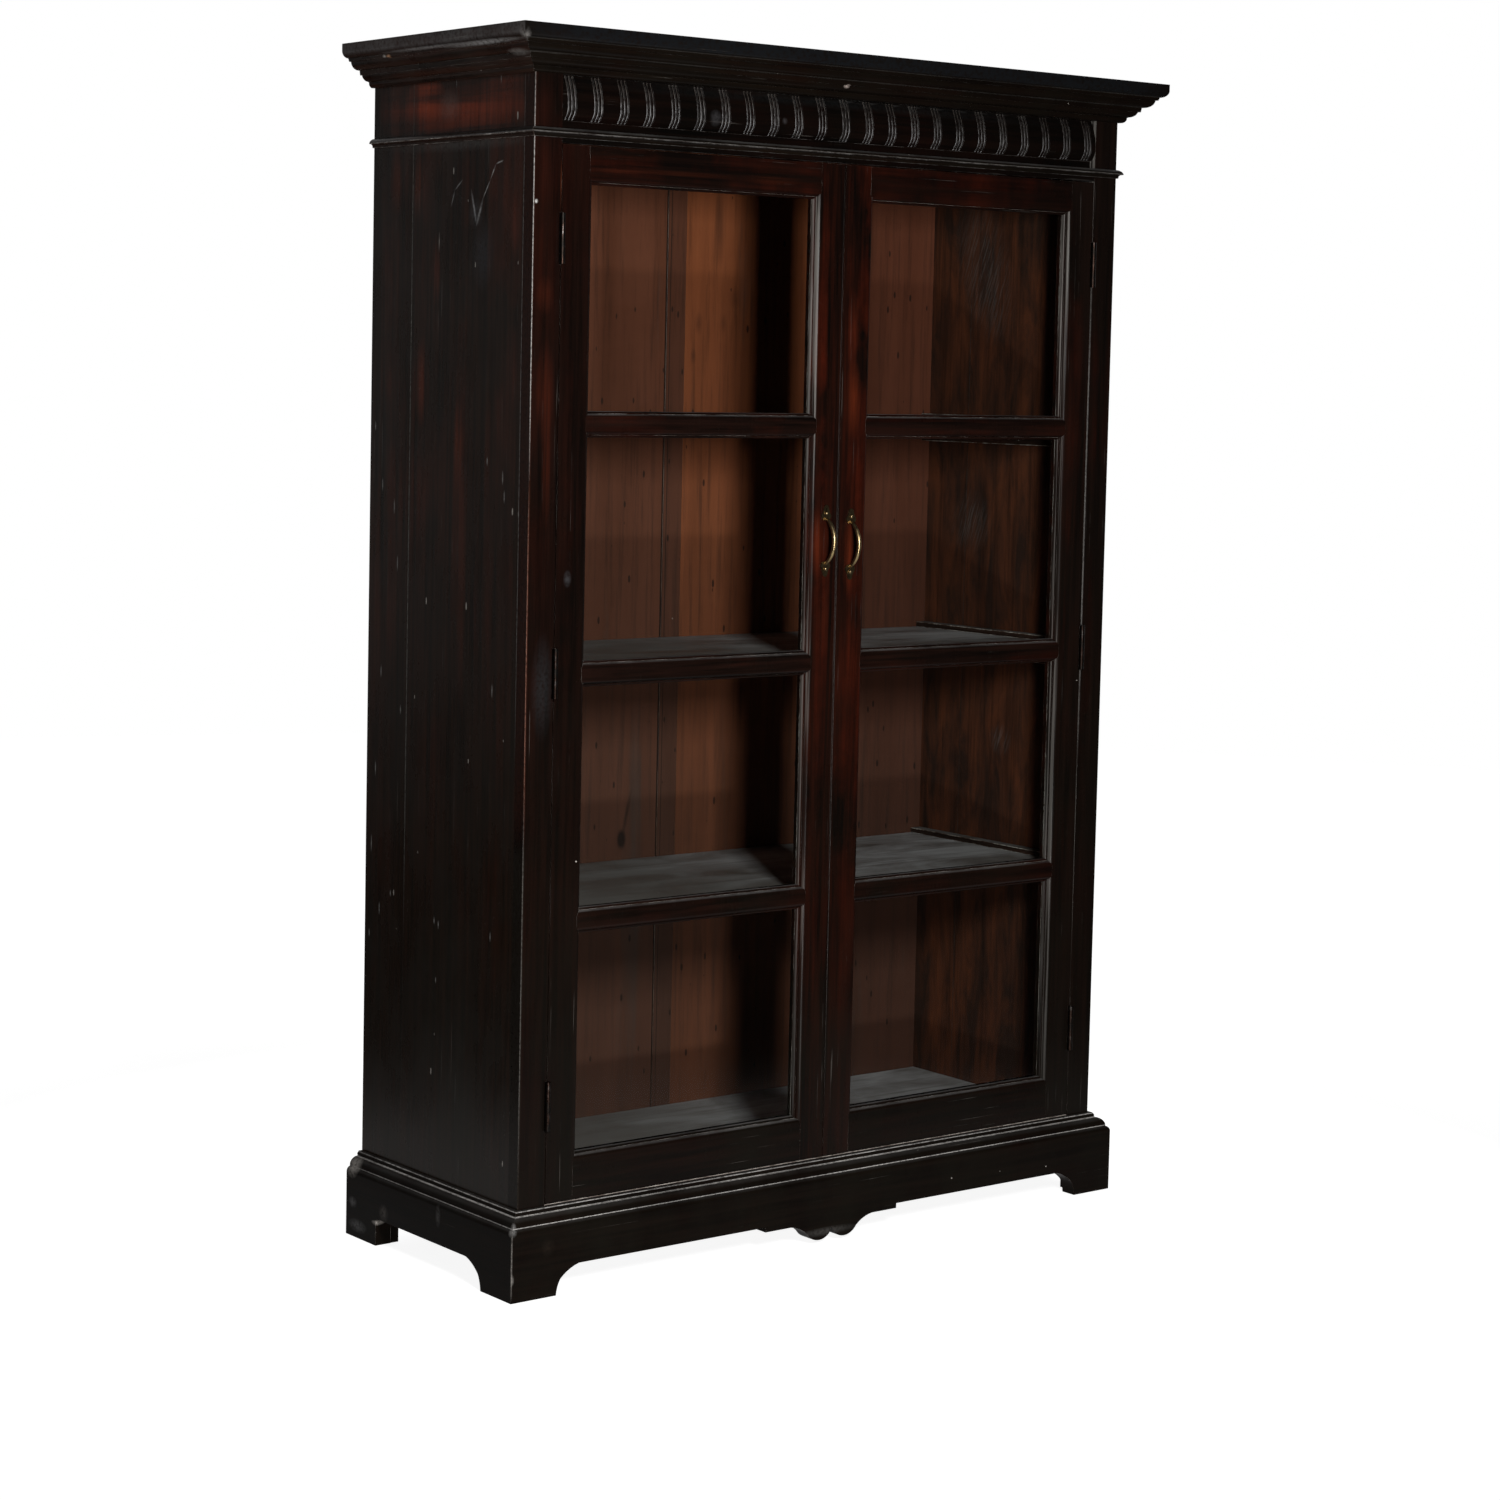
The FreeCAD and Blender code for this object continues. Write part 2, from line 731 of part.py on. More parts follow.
def glazing(limits):
    """Panes, and the beads that hold them in from the back."""
    panes = []
    beads = []
    glass = (sticking_depth, sticking_depth + glass_thickness)
    depth = (glass[1], door_thickness)
    for row in range(pane_rows):
        low = glazing_foot + row * (pane_height + bar_width)
        high = low + pane_height
        clear = glass_edge_clearance
        panes.append(
            box((limits[0] + clear, limits[1] - clear), glass, (low + clear, high - clear))
        )
        upright = (low + glazing_bead_width, high - glazing_bead_width)
        beads.append(box(limits, depth, (low, low + glazing_bead_width)))
        beads.append(box(limits, depth, (high - glazing_bead_width, high)))
        beads.append(box((limits[0], limits[0] + glazing_bead_width), depth, upright))
        beads.append(box((limits[1] - glazing_bead_width, limits[1]), depth, upright))
    return panes, beads


def door(side, meeting_stile_width, handle_rise, hinge):
    """One door, built on the left; the right one is its mirror image with its own widths."""
    meeting_edge = door_hinge_edge + door_width
    limits = (door_hinge_edge + hinge_stile_width, meeting_edge - meeting_stile_width)
    hinge_stile = stile_shape(hinge_stile_width, door_hinge_edge, False)
    meeting_stile = stile_shape(meeting_stile_width, meeting_edge, True)
    both_stiles = [hinge_stile, meeting_stile]

    rails = [
        ("bottom_rail", bottom_rail_width, door_foot, False, (door_foot, glazing_foot)),
        ("top_rail", top_rail_width, door_head, True, (glazing_head, door_head)),
    ]
    pieces = {}
    mortises = []
    for name, width, edge, turned, levels in rails:
        ends = tenons(limits, levels)
        mortises += ends
        rail = rail_shape(width, edge, turned, limits).cut(both_stiles)
        pieces[name] = one_solid(rail.fuse(ends))
    bars = []
    for row in range(1, pane_rows):
        middle = bar_middle(row)
        ends = tenons(limits, (middle - bar_width / 2, middle + bar_width / 2))
        mortises += ends
        bars.append(one_solid(glazing_bar(middle, limits).cut(both_stiles).fuse(ends)))
    pieces["glazing_bars"] = Part.makeCompound(bars)

    handle_x = meeting_edge - meeting_stile_width / 2
    body, screws, holes = handle(handle_x, bar_middle(pane_rows // 2) + handle_rise)
    cuts = mortises + hinge["door_holes"] + hinge["relief"]
    pieces["hinge_stile"] = one_solid(hinge_stile.cut(cuts))
    pieces["meeting_stile"] = one_solid(meeting_stile.cut(mortises + holes))
    panes, beads = glazing(limits)
    pieces["glass_panes"] = Part.makeCompound(panes)
    pieces["glazing_beads"] = Part.makeCompound(beads)
    pieces["handle"] = body
    pieces["handle_screws"] = Part.makeCompound(screws)
    pieces["hinge_leaves"] = Part.makeCompound(hinge["door_leaves"])
    pieces["hinge_screws"] = Part.makeCompound(hinge["door_screws"])
    for name, shape in pieces.items():
        nodes[side + "_door_" + name] = shape if side == "left" else mirrored(shape)


plinth()
carcass_sides()
carcass_floor_and_top()
carcass_back()
frieze_rail()
mouldings()
shelves()
left_hinges = hinges()
face_stiles(left_hinges)
door("left", left_meeting_stile_width, left_handle_rise, left_hinges)
door("right", right_meeting_stile_width, right_handle_rise, left_hinges)

os.makedirs("parts", exist_ok=True)
for node_name, node_shape in nodes.items():
    node_shape.translated(origin_shift).exportStep("parts/" + node_name + ".step")
print(len(nodes), "pieces; height", cabinet_top)
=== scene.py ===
import bpy
import math
from mathutils import Matrix, Vector


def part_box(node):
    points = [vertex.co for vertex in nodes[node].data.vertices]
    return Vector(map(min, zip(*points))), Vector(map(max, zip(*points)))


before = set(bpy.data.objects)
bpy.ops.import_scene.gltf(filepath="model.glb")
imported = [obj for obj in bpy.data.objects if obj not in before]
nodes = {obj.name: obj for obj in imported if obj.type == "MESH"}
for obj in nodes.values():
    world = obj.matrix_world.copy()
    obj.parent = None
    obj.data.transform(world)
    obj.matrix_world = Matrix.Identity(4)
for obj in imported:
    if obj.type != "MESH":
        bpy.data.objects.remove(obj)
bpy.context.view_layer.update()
scene = bpy.context.scene
scene.view_settings.view_transform = "Standard"
print("frame loaded:", len(nodes), "pieces")


# camera solved from the straight edges of the cabinet
cameraView = {
    "place": (-3.2994, -4.1468, 1.4119),
    "turn": -37.765,
    "pitch": 4.586,
    "roll": 1.202,
    "lens": 76.934,
    "shift": (0.0212, -0.0822),
}


def addCamera(view):
    turn = math.radians(view["turn"])
    pitch = math.radians(view["pitch"])
    roll = math.radians(view["roll"])
    data = bpy.data.cameras.new("cabinetCamera")
    data.sensor_width = 36
    data.lens = view["lens"]
    data.shift_x, data.shift_y = view["shift"]
    camera = bpy.data.objects.new("cabinetCamera", data)
    scene.collection.objects.link(camera)
    face = Matrix.Rotation(turn, 4, "Z") @ Matrix.Rotation(math.pi / 2 - pitch, 4, "X")
    camera.matrix_world = Matrix.Translation(view["place"]) @ face @ Matrix.Rotation(roll, 4, "Z")
    scene.camera = camera


addCamera(cameraView)
print("camera placed")


# short hands for building shader trees
def put(tree, kind, inputs=None, **settings):
    made = tree.nodes.new("ShaderNode" + kind)
    for name, value in settings.items():
        setattr(made, name, value)
    for socket, value in (inputs or {}).items():
        feed(tree, made.inputs[socket], value)
    return made


def feed(tree, socket, value):
    if isinstance(value, bpy.types.NodeSocket):
        tree.links.new(value, socket)
    elif socket.type == "RGBA" and len(value) == 3:
        socket.default_value = (*value, 1)
    else:
        socket.default_value = value


def calc(tree, operation, first, second=0.0):
    made = put(tree, "Math", operation=operation)
    feed(tree, made.inputs[0], first)
    feed(tree, made.inputs[1], second)
    return made.outputs[0]


def product(tree, first, *others):
    for other in others:
        first = calc(tree, "MULTIPLY", first, other)
    return first


def spread(tree, value, low, high, start=0.0, end=1.0):
    inputs = {"Value": value, "From Min": low, "From Max": high, "To Min": start, "To Max": end}
    return put(tree, "MapRange", inputs).outputs["Result"]


def layer(tree, share, under, over):
    made = put(tree, "Mix", data_type="RGBA")
    feed(tree, made.inputs[0], share)
    feed(tree, made.inputs[6], under)
    feed(tree, made.inputs[7], over)
    return made.outputs[2]


def cloud(tree, place, stretch, detail=5.0, rough=0.58, warp=0.0):
    moved = put(tree, "Mapping", {"Vector": place, "Scale": stretch})
    inputs = {"Vector": moved.outputs[0], "Scale": 1.0, "Detail": detail}
    inputs.update({"Roughness": rough, "Distortion": warp})
    return put(tree, "TexNoise", inputs).outputs["Fac"]


def flecks(tree, place, scale, share, size, stretch=(1, 1, 1)):
    # small round or drawn-out marks in a share of the cells
    moved = put(tree, "Mapping", {"Vector": place, "Scale": stretch})
    cells = put(tree, "TexVoronoi", {"Vector": moved.outputs[0], "Scale": scale})
    pick = put(tree, "SeparateColor", {"Color": cells.outputs["Color"]})
    chosen = calc(tree, "GREATER_THAN", pick.outputs[0], 1 - share)
    reach = calc(tree, "MULTIPLY", pick.outputs[1], size)
    return product(tree, chosen, calc(tree, "LESS_THAN", cells.outputs["Distance"], reach))


def newFinish(name):
    material = bpy.data.materials.new(name)
    material.use_nodes = True
    tree = material.node_tree
    place = put(tree, "TexCoord").outputs["Object"]
    return material, tree, tree.nodes["Principled BSDF"], place


def applyCoat(tree, surface, colour, gloss, specular):
    tree.links.new(colour, surface.inputs["Base Color"])
    tree.links.new(gloss, surface.inputs["Roughness"])
    surface.inputs["Specular IOR Level"].default_value = specular


def applyMetal(tree, surface, colour, gloss):
    tree.links.new(colour, surface.inputs["Base Color"])
    tree.links.new(gloss, surface.inputs["Roughness"])
    surface.inputs["Metallic"].default_value = 1


def relief(tree, surface, height, depth, strength):
    bump = put(tree, "Bump", {"Height": height, "Distance": depth, "Strength": strength})
    tree.links.new(bump.outputs["Normal"], surface.inputs["Normal"])


def spotShare(tree, place, spot):
    # how far a single mark covers the surface, by its own reach around a point
    tilt = [math.radians(angle) for angle in spot.get("tilt", (0, 0, 0))]
    inputs = {"Vector": place, "Location": spot["at"], "Rotation": tilt, "Scale": spot["reach"]}
    moved = put(tree, "Mapping", inputs, vector_type="TEXTURE").outputs[0]
    if spot.get("line"):
        apart = put(tree, "VectorMath", {0: moved}, operation="ABSOLUTE").outputs[0]
        axes = put(tree, "SeparateXYZ", {"Vector": apart}).outputs
        away = calc(tree, "MAXIMUM", calc(tree, "MAXIMUM", axes[0], axes[1]), axes[2])
    else:
        away = put(tree, "VectorMath", {0: moved}, operation="LENGTH").outputs["Value"]
    return spread(tree, away, 1.0, spot.get("soft", 0.2), 0, spot["share"])


def mark(at, reach, share, colour=None, **shape):
    # one red patch, scuff, chip or painted highlight: place, half sizes, strength, colour
    return {"at": at, "reach": reach, "share": share, "colour": colour, **shape}


def streak(at, reach, share, colour, soft=0.5):
    # a straight line with square ends, for rubbed lines, dark streaks and painted edge highlights
    return mark(at, reach, share, colour, line=True, soft=soft)


leftFace = -0.6  # outside of the carcass, left


def onSide(at, reach, share, colour, **shape):
    # a mark on the left side, given by y and z alone
    return mark((leftFace, *at), (0.02, *reach), share, colour, **shape)


def strokes(points, width, share, colour):
    # a scratch drawn through points (y, z) on the left side
    drawn = []
    for start, end in zip(points, points[1:]):
        run, rise = end[0] - start[0], end[1] - start[1]
        middle = ((start[0] + end[0]) / 2, (start[1] + end[1]) / 2)
        half = math.hypot(run, rise) * 0.56  # a little over, so that the runs join
        tilt = (math.degrees(math.atan2(rise, run)), 0, 0)
        drawn.append(onSide(middle, (half, width), share, colour, tilt=tilt))
    return drawn


grainStretch = {"x": (3.2, 95, 95), "y": (95, 3.2, 95), "z": (95, 95, 3.2)}
scratchStretch = {"x": (5, 420, 420), "y": (420, 5, 420), "z": (420, 420, 5)}

polish = {
    "dark": (0.0030, 0.0019, 0.0015),
    "brown": (0.0078, 0.0034, 0.0024),
    "red": (0.055, 0.0080, 0.0032),
    "redShare": 0.5,
    "redLow": 0.15,  # share of the red that is left near the floor
    "bloom": (0.0062, 0.0052, 0.0035),
    "bloomShare": 0.85,
    "bloomTop": 1.2,  # height where it ends
    # rubbed wear on lines, and also the colour of the painted highlight on mouldings turned to the
    # left
    "rubbed": (0.36, 0.34, 0.31),
    "lines": (),  # level, half height, share
    "reds": (),
    "marks": (),
    "dust": (0.20, 0.192, 0.185),
    "dustShare": 0.45,
    "scratch": (0.16, 0.145, 0.13),
    "scratchShare": 0.5,
    "speck": (0.34, 0.31, 0.28),
    "speckShare": 0.08,
    "nickShare": 0.05,
    "gloss": (0.20, 0.36),  # roughness from and to
    "specular": 0.055,
    # share of the painted highlight on mouldings turned to the left
    "paintedSheen": 0.0,
    "paintedSheenFrom": 0.03,  # distance from the gap between the doors
    "relief": (0.0008, 0.35),  # depth, strength
    "grain": "z",
}


def polishColours(tree, place, look):
    # dark stain over red wood, thin in cloudy patches
    grain = Vector(grainStretch[look["grain"]])
    axes = put(tree, "SeparateXYZ", {"Vector": place}).outputs
    facing = put(tree, "SeparateXYZ", {"Vector": put(tree, "TexCoord").outputs["Normal"]}).outputs
    height = axes["Z"]
    pores = cloud(tree, place, grain, 8, 0.66)
    figure = cloud(tree, place, grain * 0.3, 7, 0.66, 0.9)
    thin = cloud(tree, place, (7, 7, 3.8), 6, 0.62)
    haze = cloud(tree, place, (9, 9, 5), 7, 0.64)
    crumbs = spread(tree, cloud(tree, place, (170, 170, 170), 3), 0.34, 0.54, 0.35, 1)
    colour = layer(tree, spread(tree, pores, 0.40, 0.62), look["dark"], look["brown"])
    glow = product(
        tree,
        spread(tree, figure, 0.42, 0.62),
        spread(tree, thin, 0.42, 0.64),
        spread(tree, height, 0.25, 1.2, look["redLow"], 1),
        look["redShare"],
    )
    colour = layer(tree, glow, colour, look["red"])

    # red wood bare in single places, streaked along the piece or along the frieze end
    flat = cloud(tree, place, Vector(grainStretch["y"]) * 0.3, 7, 0.66, 0.9)
    for spot in look["reds"]:
        bare = product(
            tree,
            spotShare(tree, place, spot),
            spread(tree, flat if spot.get("flat") else figure, 0.38, 0.60, 0.1, 1),
            spread(tree, pores, 0.38, 0.56, 0.4, 1),
        )
        colour = layer(tree, bare, colour, spot["colour"])

    # bloom near the floor, fine scratches, specks and nicks
    low = spread(tree, height, look["bloomTop"], 0.1)
    bloom = product(tree, spread(tree, haze, 0.30, 0.72), low, look["bloomShare"])
    colour = layer(tree, bloom, colour, look["bloom"])
    scratches = cloud(tree, place, scratchStretch[look["grain"]], 2, 0.5)
    lines = product(tree, spread(tree, scratches, 0.70, 0.74), spread(tree, haze, 0.48, 0.66))
    colour = layer(tree, product(tree, lines, look["scratchShare"]), colour, look["scratch"])
    colour = layer(tree, flecks(tree, place, 46, look["speckShare"], 0.085), colour, look["speck"])
    nicks = flecks(tree, place, 34, look["nickShare"], 0.065, (1, 1, 0.28))
    colour = layer(tree, nicks, colour, look["speck"])

    # level lines rubbed along mouldings, then single marks
    for level, half, share in look["lines"]:
        away = calc(tree, "ABSOLUTE", calc(tree, "SUBTRACT", height, level))
        worn = product(
            tree,
            spread(tree, away, half, half * 0.5, 0, share),
            crumbs,
            spread(tree, haze, 0.36, 0.56, 0.5, 1),
        )
        colour = layer(tree, worn, colour, look["rubbed"])
    for spot in look["marks"]:
        share = product(tree, spotShare(tree, place, spot), crumbs)
        colour = layer(tree, share, colour, spot["colour"])

    # painted highlight: small mouldings turned to the left, towards the key lamp, are painted
    # bright in fine lines, more strongly higher up
    if look["paintedSheen"]:
        drawn = cloud(tree, place, (230, 230, 3), 2, 0.5)
        fromMiddle = calc(tree, "ABSOLUTE", axes["X"])
        turned = product(
            tree,
            calc(tree, "GREATER_THAN", fromMiddle, look["paintedSheenFrom"]),
            spread(tree, facing["X"], -0.2, -0.7),
            spread(tree, drawn, 0.47, 0.58, 0.05, 1),
            spread(tree, height, 0.1, 1.5, 0.22, 1),
            look["paintedSheen"],
        )
        colour = layer(tree, turned, colour, look["rubbed"])

    # dust lies on what faces up and dulls it
    up = spread(tree, facing["Z"], 0.55, 0.95)
    settled = product(tree, up, spread(tree, haze, 0.25, 0.6), look["dustShare"])
    colour = layer(tree, settled, colour, look["dust"])
    gloss = spread(tree, haze, 0.3, 0.7, *look["gloss"])
    gloss = calc(tree, "MAXIMUM", gloss, product(tree, up, 0.7))
    ridges = calc(tree, "ADD", product(tree, pores, 0.5), figure)
    ridges = calc(tree, "SUBTRACT", ridges, product(tree, lines, 0.6))
    return colour, gloss, ridges


def polishedWood(name, look):
    material, tree, surface, place = newFinish(name)
    colour, gloss, ridges = polishColours(tree, place, look)
    applyCoat(tree, surface, colour, gloss, look["specular"])
    relief(tree, surface, ridges, *look["relief"])
    return material


flutes = {
    "pitch": 0.0484,  # from group to group
    "spacing": 0.0064,  # from flute to flute
    "half": 0.0011,
    "groupHalf": 0.0083,
    "from": 1.7780,
    "to": 1.8435,
    "fade": (1.828, 1.795),  # heights between top and foot colour
    "top": (0.065, 0.055, 0.048),
    "foot": (0.23, 0.225, 0.225),
}


def flutedWood(name, look, wear):
    # polish with the grooves of the flutes rubbed pale and painted bright as highlight lines,
    # whiter towards the foot
    material, tree, surface, place = newFinish(name)
    colour, gloss, ridges = polishColours(tree, place, look)
    axes = put(tree, "SeparateXYZ", {"Vector": place}).outputs

    def around(value, pitch):
        turned = calc(tree, "FLOORED_MODULO", calc(tree, "ADD", value, pitch / 2), pitch)
        return calc(tree, "SUBTRACT", turned, pitch / 2)

    inGroup = around(axes["X"], wear["pitch"])
    inFlute = calc(tree, "ABSOLUTE", around(inGroup, wear["spacing"]))
    crumbs = cloud(tree, place, (150, 150, 90), 3)
    groove = product(
        tree,
        spread(tree, inFlute, wear["half"], wear["half"] * 0.6),
        calc(tree, "LESS_THAN", calc(tree, "ABSOLUTE", inGroup), wear["groupHalf"]),
        calc(tree, "GREATER_THAN", axes["Z"], wear["from"]),
        calc(tree, "LESS_THAN", axes["Z"], wear["to"]),
        spread(tree, crumbs, 0.36, 0.56, 0.15, 1),
    )
    worn = layer(tree, spread(tree, axes["Z"], *wear["fade"]), wear["top"], wear["foot"])
    # the pale grooves are partly wear and partly a painted highlight
    applyCoat(tree, surface, layer(tree, groove, colour, worn), gloss, look["specular"])
    relief(tree, surface, ridges, *look["relief"])
    return material


arris = {
    "pale": (0.52, 0.49, 0.45),
    "bare": (0.085, 0.046, 0.030),
    "dark": (0.010, 0.005, 0.0035),
    "gloss": (0.26, 0.45),
    "specular": 0.3,
    "relief": (0.0006, 0.5),
}


def wornArris(name, look):
    # polish rubbed away along the sharp edges, in broken runs
    material, tree, surface, place = newFinish(name)
    runs = cloud(tree, place, (26, 26, 14), 6, 0.65)
    fine = cloud(tree, place, (160, 160, 160), 4)
    colour = layer(tree, spread(tree, runs, 0.34, 0.50), look["dark"], look["bare"])
    rubbed = product(tree, spread(tree, runs, 0.42, 0.58), spread(tree, fine, 0.34, 0.54))
    colour = layer(tree, rubbed, colour, look["pale"])
    gloss = spread(tree, fine, 0.3, 0.7, *look["gloss"])
    applyCoat(tree, surface, colour, gloss, look["specular"])
    relief(tree, surface, fine, *look["relief"])
    return material


# short upright nicks on the left side: y, z, half height
sideNicks = (
    (0.2151, 0.9204, 0.012), (-0.1041, 0.9181, 0.012), (0.1555, 0.8644, 0.009),
    (0.2284, 0.7627, 0.014), (0.2381, 0.6405, 0.016), (0.1785, 0.5669, 0.006),
    (0.2117, 0.5379, 0.012), (0.0488, 0.5423, 0.007), (-0.1094, 0.5407, 0.009),
    (0.0421, 0.4487, 0.006), (0.2415, 0.4940, 0.008), (0.0368, 0.5371, 0.008),
    (-0.1242, 1.2423, 0.012), (-0.0815, 1.2655, 0.008), (-0.1293, 1.2139, 0.011),
    (0.2174, 1.2188, 0.012), (0.1816, 1.1852, 0.014), (0.2406, 1.3110, 0.009),
    (0.1700, 1.0957, 0.014), (-0.1681, 1.1896, 0.006),
)

insideWall = {
    "pale": (0.128, 0.038, 0.0158),
    "deep": (0.0265, 0.0138, 0.0100),
    "streak": (0.010, 0.0060, 0.0046),
    "smear": (0.21, 0.20, 0.195),
    "wiped": (
        mark((0.578, 0.105, 1.600), (0.04, 0.075, 0.150), 0.19, tilt=(-20, 0, 0), soft=0.3),
        mark((0.578, 0.125, 1.150), (0.04, 0.060, 0.060), 0.20),
        mark((0.578, 0.032, 0.765), (0.04, 0.030, 0.030), 0.22),
    ),
    "slant": -20,
    "gloss": (0.42, 0.62),
    "face": 0.585,  # inside where x is smaller
}


def stainedColours(tree, place, look):
    # matt stain inside, cloudy with dark streaks down the grain and wiped smears
    pores = cloud(tree, place, (70, 70, 2.4), 8, 0.64)
    figure = cloud(tree, place, (30, 22, 4.5), 8, 0.68, 0.6)
    colour = layer(tree, spread(tree, figure, 0.40, 0.78), look["deep"], look["pale"])
    colour = layer(tree, spread(tree, pores, 0.50, 0.66, 0, 0.55), colour, look["streak"])
    tilt = (math.radians(look["slant"]), 0, 0)
    slanted = put(tree, "Mapping", {"Vector": place, "Rotation": tilt}).outputs[0]
    drawn = spread(tree, cloud(tree, slanted, (20, 520, 22), 3, 0.55), 0.50, 0.62, 0.12, 1)
    for spot in look["wiped"]:
        share = product(tree, spotShare(tree, place, spot), drawn)
        colour = layer(tree, share, colour, look["smear"])
    return colour, spread(tree, figure, 0.3, 0.7, *look["gloss"])


def sideWood(name, look, wall):
    # polished outside, stained inside
    material, tree, surface, place = newFinish(name)
    colour, gloss, ridges = polishColours(tree, place, look)
    inner, innerGloss = stainedColours(tree, place, wall)
    across = calc(tree, "ABSOLUTE", put(tree, "SeparateXYZ", {"Vector": place}).outputs["X"])
    inside = calc(tree, "LESS_THAN", across, wall["face"])
    gloss = put(tree, "Mix", {0: inside, 2: gloss, 3: innerGloss}).outputs[0]
    applyCoat(tree, surface, layer(tree, inside, colour, inner), gloss, look["specular"])
    relief(tree, surface, ridges, *look["relief"])
    return material


backBoards = {
    "back_board_far_left": {"pale": (0.130, 0.0405, 0.0195), "deep": (0.087, 0.0272, 0.0131)},
    "back_board_left": {"pale": (0.130, 0.0405, 0.0195), "deep": (0.087, 0.0272, 0.0131)},
    "back_muntin": {"pale": (0.102, 0.033, 0.0170), "deep": (0.068, 0.0220, 0.0112)},
    "back_board_right": {"pale": (0.240, 0.066, 0.0225), "deep": (0.138, 0.039, 0.0145)},
    "back_board_far_right": {"pale": (0.118, 0.0340, 0.0165), "deep": (0.075, 0.0218, 0.0110)},
}
backWear = {
    "hole": (0.010, 0.006, 0.0045),
    "holeShare": 0.22,
    "speck": (0.30, 0.26, 0.23),
    "knot": (
        mark((-0.0985, 0.2435, 0.608), (0.011, 0.03, 0.020), 0.9, soft=0.55),
        mark((-0.0885, 0.2435, 0.650), (0.005, 0.03, 0.050), 0.65, tilt=(0, 12, 0)),
        mark((0.0873, 0.2435, 1.660), (0.014, 0.03, 0.085), 0.45),
        mark((0.0455, 0.2435, 1.490), (0.010, 0.03, 0.022), 0.35),
        mark((0.0989, 0.2435, 1.492), (0.008, 0.03, 0.018), 0.30),
        mark((0.0351, 0.2435, 1.434), (0.007, 0.03, 0.016), 0.40),
        mark((0.1217, 0.2435, 1.535), (0.014, 0.03, 0.022), 0.25),
    ),
    "stain": (0.060, 0.050, 0.044),
    "stainShare": 0.6,
    "darkTone": (0.031, 0.0195, 0.0150),
    "darkToneReach": (1.55, 0.55),
    "darkToneShare": 0.62,
    # place and half width of the dark joints
    "joints": ((-0.0250, 0.0022), (-0.0175, 0.0010), (0.0150, 0.0012), (0.3015, 0.0012)),
    "jointShare": 0.85,
    "gloss": (0.5, 0.7),
    "specular": 0.2,
    "relief": (0.0008, 0.3),
}


def backBoard(name, look, wear):
    # plain boards with worm holes, grey water stains and short dark dashes
    material, tree, surface, place = newFinish(name)
    axes = put(tree, "SeparateXYZ", {"Vector": place}).outputs
    pores = cloud(tree, place, (95, 95, 3.6), 9, 0.70)
    figure = cloud(tree, place, (15, 15, 1.1), 5, 0.6, 0.6)
    soak = cloud(tree, place, (11, 11, 1.0), 5, 0.6, 0.4)
    colour = layer(tree, spread(tree, figure, 0.30, 0.70), look["deep"], look["pale"])
    colour = layer(tree, spread(tree, pores, 0.50, 0.72, 0, 0.62), colour, wear["hole"])
    stained = spread(tree, soak, 0.60, 0.74, 0, wear["stainShare"])
    colour = layer(tree, stained, colour, wear["stain"])
    # darker towards the bottom of the boards
    darkerBelow = spread(tree, axes["Z"], *wear["darkToneReach"], 0, wear["darkToneShare"])
    colour = layer(tree, darkerBelow, colour, wear["darkTone"])
    dashes = flecks(tree, place, 30, wear["holeShare"], 0.2, (2.6, 2.6, 1.0))
    colour = layer(tree, product(tree, dashes, 0.8), colour, wear["hole"])
    for joint, half in wear["joints"]:
        away = calc(tree, "ABSOLUTE", calc(tree, "SUBTRACT", axes["X"], joint))
        shut = spread(tree, away, half, half * 0.5, 0, wear["jointShare"])
        colour = layer(tree, shut, colour, wear["hole"])
    holes = flecks(tree, place, 70, wear["holeShare"] * 0.4, 0.1)
    colour = layer(tree, holes, colour, wear["hole"])
    colour = layer(tree, flecks(tree, place, 62, 0.05, 0.07), colour, wear["speck"])
    for spot in wear["knot"]:
        colour = layer(tree, spotShare(tree, place, spot), colour, wear["hole"])
    gloss = spread(tree, figure, 0.3, 0.7, *wear["gloss"])
    applyCoat(tree, surface, colour, gloss, wear["specular"])
    relief(tree, surface, pores, *wear["relief"])
    return material


shelfBoard = {
    "grey": (0.45, 0.445, 0.46),
    "dull": (0.185, 0.178, 0.172),
    "brown": (0.098, 0.081, 0.071),
    "under": (0.040, 0.017, 0.011),
    "mark": (0.42, 0.40, 0.38),
    "edge": -0.190,  # in front of this only the bottom board's front edge
    "gloss": (0.45, 0.72),
    "specular": 0.3,
    "relief": (0.0008, 0.4),
}


